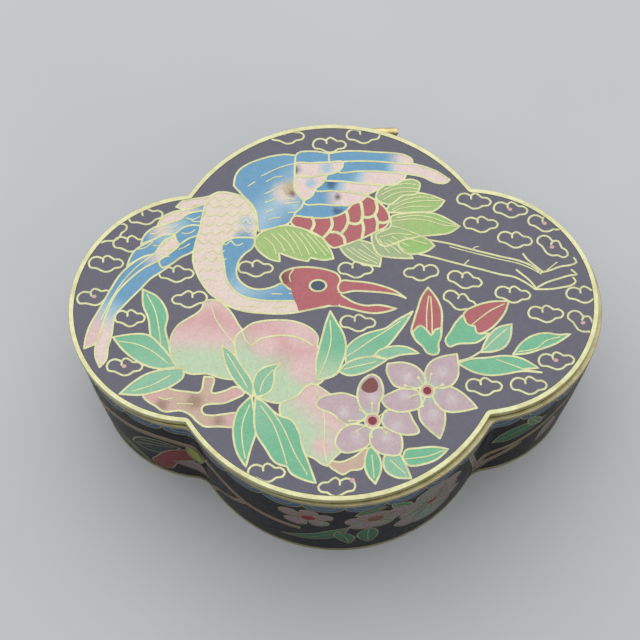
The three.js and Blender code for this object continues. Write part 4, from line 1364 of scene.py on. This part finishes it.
# Each metal: its colour where bright and where dull, and its roughness.
wire_metal = metal("wire_brass", (0.53, 0.54, 0.31), (0.4, 0.39, 0.22), 0.4)
# The wall's wires are the same brass as the lid's, painted darker: painted shade of the sides that
# face away from the light.
shaded_wall_wire_metal = metal("shaded_wall_wire_brass", (0.32, 0.27, 0.15), (0.18, 0.15, 0.09), 0.35)
rim_metal = metal("rim_brass", (0.56, 0.56, 0.33), (0.43, 0.39, 0.21), 0.36)
# The body's and the foot's rims are the lid rim's brass painted darker: painted shade under the lid
# and down the sides.
shaded_rim_metal = metal("shaded_rim_brass", (0.4, 0.36, 0.2), (0.28, 0.24, 0.13), 0.36)
hinge_metal = metal("hinge_brass", (0.72, 0.6, 0.3), (0.4, 0.32, 0.17), 0.38)

# ---- Lid ----

PICTURE_GRID = 1.1
GRID_REACH = (54, 43)  # from the middle of the lid to past its edge


def on_lid(x, y, lift):
    return (x + LID_AT.x, y + LID_AT.y, lid_plate_high.z + lift), UP


def lid_pieces(drawing):
    """The lid's enamel, with its counter enamel below, and its wires."""
    reach_x, reach_y = GRID_REACH
    grid = lattice(-reach_x, reach_x, -reach_y, reach_y, PICTURE_GRID)
    vertices, cells, under = drawing.mesh(grid)
    solid = Solid()
    corners = {i: solid.vertex(on_lid(*vertices[i], 0)[0]) for t, _ in cells for i in t}
    painted_faces(solid, vertices, cells, on_lid, corners, under)
    edges = dict(rim_edges([tuple(t) for t, _ in cells]))
    loop = [next(iter(edges))]
    while edges[loop[-1]] != loop[0]:
        loop.append(edges[loop[-1]])
    lower = [
        solid.vertex((vertices[i].x + LID_AT.x, vertices[i].y + LID_AT.y, lid_plate_low.z))
        for i in loop
    ]
    solid.strip([corners[i] for i in loop], lower, material=1)
    solid.face(lower[::-1], material=1)
    materials = [picture_enamel, counter_enamel]
    solid.piece("lid_enamel", materials, "lid", "lid_plate")
    wires_piece("lid_wires", vertices, cells, on_lid, "lid", wire_metal)


lid_pieces(lid_picture())
rim_piece(
    "lid_rim_polished",
    lid_outline,
    LID_AT,
    lid_outline.stations(1.0),
    rounded(RIM_WIDTH, 0, lid_rim_low.z, lid_rim_high.z),
    "lid",
    rim_metal,
    "lid_rim",
)

# ---- Body ----

WALL_GRID = 1.4
LINER_RINGS = 8
FILLET_RINGS = 6
GRID_CLEAR, GRID_CLEAR_FOOT = 0.7, 0.9  # between the grid and the edges of the sheet
HALF_ROUND = body_outline.length / 2


def on_wall(s, z, lift):
    """The wall's outside at a distance round from the middle of the front, and a height."""
    (x, y), (ox, oy) = body_outline.at(s, taper(z) + WIRE_PROUD - lift)
    x, y, _ = seated(x, y, z)
    # The wall leans out a little from the foot up, so that it faces slightly down.
    lean = -BASE_INSET * TAPER_POWER * max((MOUTH - z) / MOUTH, 0) ** (TAPER_POWER - 1) / MOUTH
    return (x + BODY_AT.x, y + BODY_AT.y, z), Vector((ox, oy, lean)).normalized()


def body_pieces(drawing):
    """The wall's enamel with the liner and the floor, and its wires."""
    grid = lattice(
        -HALF_ROUND + GRID_CLEAR, HALF_ROUND - GRID_CLEAR,
        WALL_LOW + GRID_CLEAR_FOOT, WALL_HIGH - GRID_CLEAR, WALL_GRID,
    )
    vertices, cells, under = drawing.mesh(grid)
    solid = Solid()
    corners = {i: solid.vertex(on_wall(*vertices[i], 0)[0]) for t, _ in cells for i in t}
    painted_faces(solid, vertices, cells, on_wall, corners, under)
    top = sorted((vertices[i].x, i) for i in corners if vertices[i].y > WALL_HIGH - ON_EDGE)
    foot = sorted((vertices[i].x, i) for i in corners if vertices[i].y < WALL_LOW + ON_EDGE)
    profile = []
    for k in range(LINER_RINGS):
        z = WALL_HIGH - (WALL_HIGH - FLOOR_TOP - FLOOR_FILLET) * k / LINER_RINGS
        profile.append((taper(z) + WALL, z, -1, 0))
    bottom_inset = taper(FLOOR_TOP + FLOOR_FILLET) + WALL
    for k in range(FILLET_RINGS + 1):
        turn = math.pi / 2 * k / FILLET_RINGS
        inset = bottom_inset + FLOOR_FILLET * (1 - math.cos(turn))
        z = FLOOR_TOP + FLOOR_FILLET * (1 - math.sin(turn))
        profile.append((inset, z, -math.cos(turn), math.sin(turn)))
    rings, facings = [], []
    for inset, z, outward, upward in profile:
        points = [body_outline.at(s, inset) for s, _ in top[:-1]]
        rings.append([solid.vertex((x + BODY_AT.x, y + BODY_AT.y, z)) for (x, y), _ in points])
        facings.append([Vector((ox * outward, oy * outward, upward)) for _, (ox, oy) in points])
    for k in range(len(rings) - 1):
        solid.strip(rings[k + 1], rings[k], (facings[k + 1], facings[k]), material=1)
    solid.face(rings[-1], material=1)
    inner = rings[0] + rings[0][:1]
    solid.strip(inner, [corners[i] for _, i in top], material=1, closed=False)
    solid.face([corners[i] for _, i in foot[:-1]][::-1], material=1)
    materials = [wall_enamel, counter_enamel]
    solid.piece("body_enamel", materials, "box", "body_shell")
    wires_piece("wall_wires", vertices, cells, on_wall, "box", shaded_wall_wire_metal)


body_pieces(wall_picture())

fold = recess_start() % body_outline.length
rim_stations = sorted(body_outline.stations(1.0) + [fold - FOLD, fold + FOLD])
rim_piece(
    "body_rim_polished",
    body_outline,
    BODY_AT,
    rim_stations,
    rounded(WALL, 0, body_rim_low.z, body_rim_high.z),
    "box",
    shaded_rim_metal,
    "body_rim",
    shaped=seated,
)
foot_inset = taper(foot_high.z)
rim_piece(
    "foot_rim_polished",
    body_outline,
    BODY_AT,
    body_outline.stations(1.0),
    rounded(foot_inset + FOOT_WIDTH, foot_inset, foot_low.z, foot_high.z),
    "box",
    shaded_rim_metal,
    "foot_rim",
)

# ---- Hinge ----

for name in ("hinge_leaf_body", "hinge_leaf_lid", "hinge_pin"):
    node = bpy.data.objects[name]
    node.data.materials.clear()
    node.data.materials.append(hinge_metal)

# ---- Floor, light and camera ----


FLOOR_RADIUS, FLOOR_DROP = 2.0, 0.0001  # metres


def floor():
    made = Finish("floor_paper", Roughness=0.7)
    tone = made.mix(made.noise(size=60), (0.5, 0.51, 0.52), (0.55, 0.56, 0.57))
    made.paint("Base Color", tone)
    bm = bmesh.new()
    bmesh.ops.create_circle(bm, cap_ends=True, segments=64, radius=FLOOR_RADIUS)
    mesh = bpy.data.meshes.new("floor")
    bm.to_mesh(mesh)
    bm.free()
    mesh.materials.append(made.material)
    ground = bpy.data.objects.new("floor", mesh)
    ground.location.z = -FLOOR_DROP
    bpy.context.scene.collection.objects.link(ground)


def soft_light(name, place, size, power):
    """A square soft light that faces the box."""
    lamp = bpy.data.lights.new(name, "AREA")
    lamp.size = size
    lamp.energy = power
    made = bpy.data.objects.new(name, lamp)
    made.location = place
    made.rotation_euler = (-Vector(place)).to_track_quat("-Z", "Y").to_euler()
    bpy.context.scene.collection.objects.link(made)


floor()
soft_light("overhead", place=(-0.1, 0.45, 0.9), size=1.8, power=11.5)
soft_light("front", place=(0.5, -0.7, 0.6), size=0.6, power=1.0)

world = bpy.data.worlds.new("studio")
bpy.context.scene.world = world
world.use_nodes = True
sky = world.node_tree.nodes["Background"].inputs
sky["Color"].default_value = (0.95, 0.97, 1.0, 1)
sky["Strength"].default_value = 0.5
bpy.context.scene.view_settings.view_transform = "Standard"

# The camera looks down on the lid from the front, a little from the left.
LOOK_DOWN = math.radians(63.96)
LOOK_TURN = math.radians(1.55)
LENS, SENSOR = 81.96, 36
# The lid's middle is this far to the right of the view's axis, above it, and from the camera.
TO_RIGHT, TO_TOP, TO_LID = 2.79, 3.87, 291.4
right = Vector((math.cos(LOOK_TURN), -math.sin(LOOK_TURN), 0))
away = Vector((math.sin(LOOK_TURN), math.cos(LOOK_TURN), 0))
forward = away * math.cos(LOOK_DOWN) + DOWN * math.sin(LOOK_DOWN)
above = away * math.sin(LOOK_DOWN) + UP * math.cos(LOOK_DOWN)
lid_middle = Vector((LID_AT.x, LID_AT.y, lid_rim_high.z))
offset = right * TO_RIGHT + above * TO_TOP + forward * TO_LID
lens = bpy.data.cameras.new("camera")
lens.lens = LENS
lens.sensor_width = SENSOR
lens.clip_start = 0.01
camera = bpy.data.objects.new("camera", lens)
camera.location = (lid_middle - offset) * MM
camera.rotation_euler = Matrix((right, above, -forward)).transposed().to_euler()
bpy.context.scene.collection.objects.link(camera)
bpy.context.scene.camera = camera
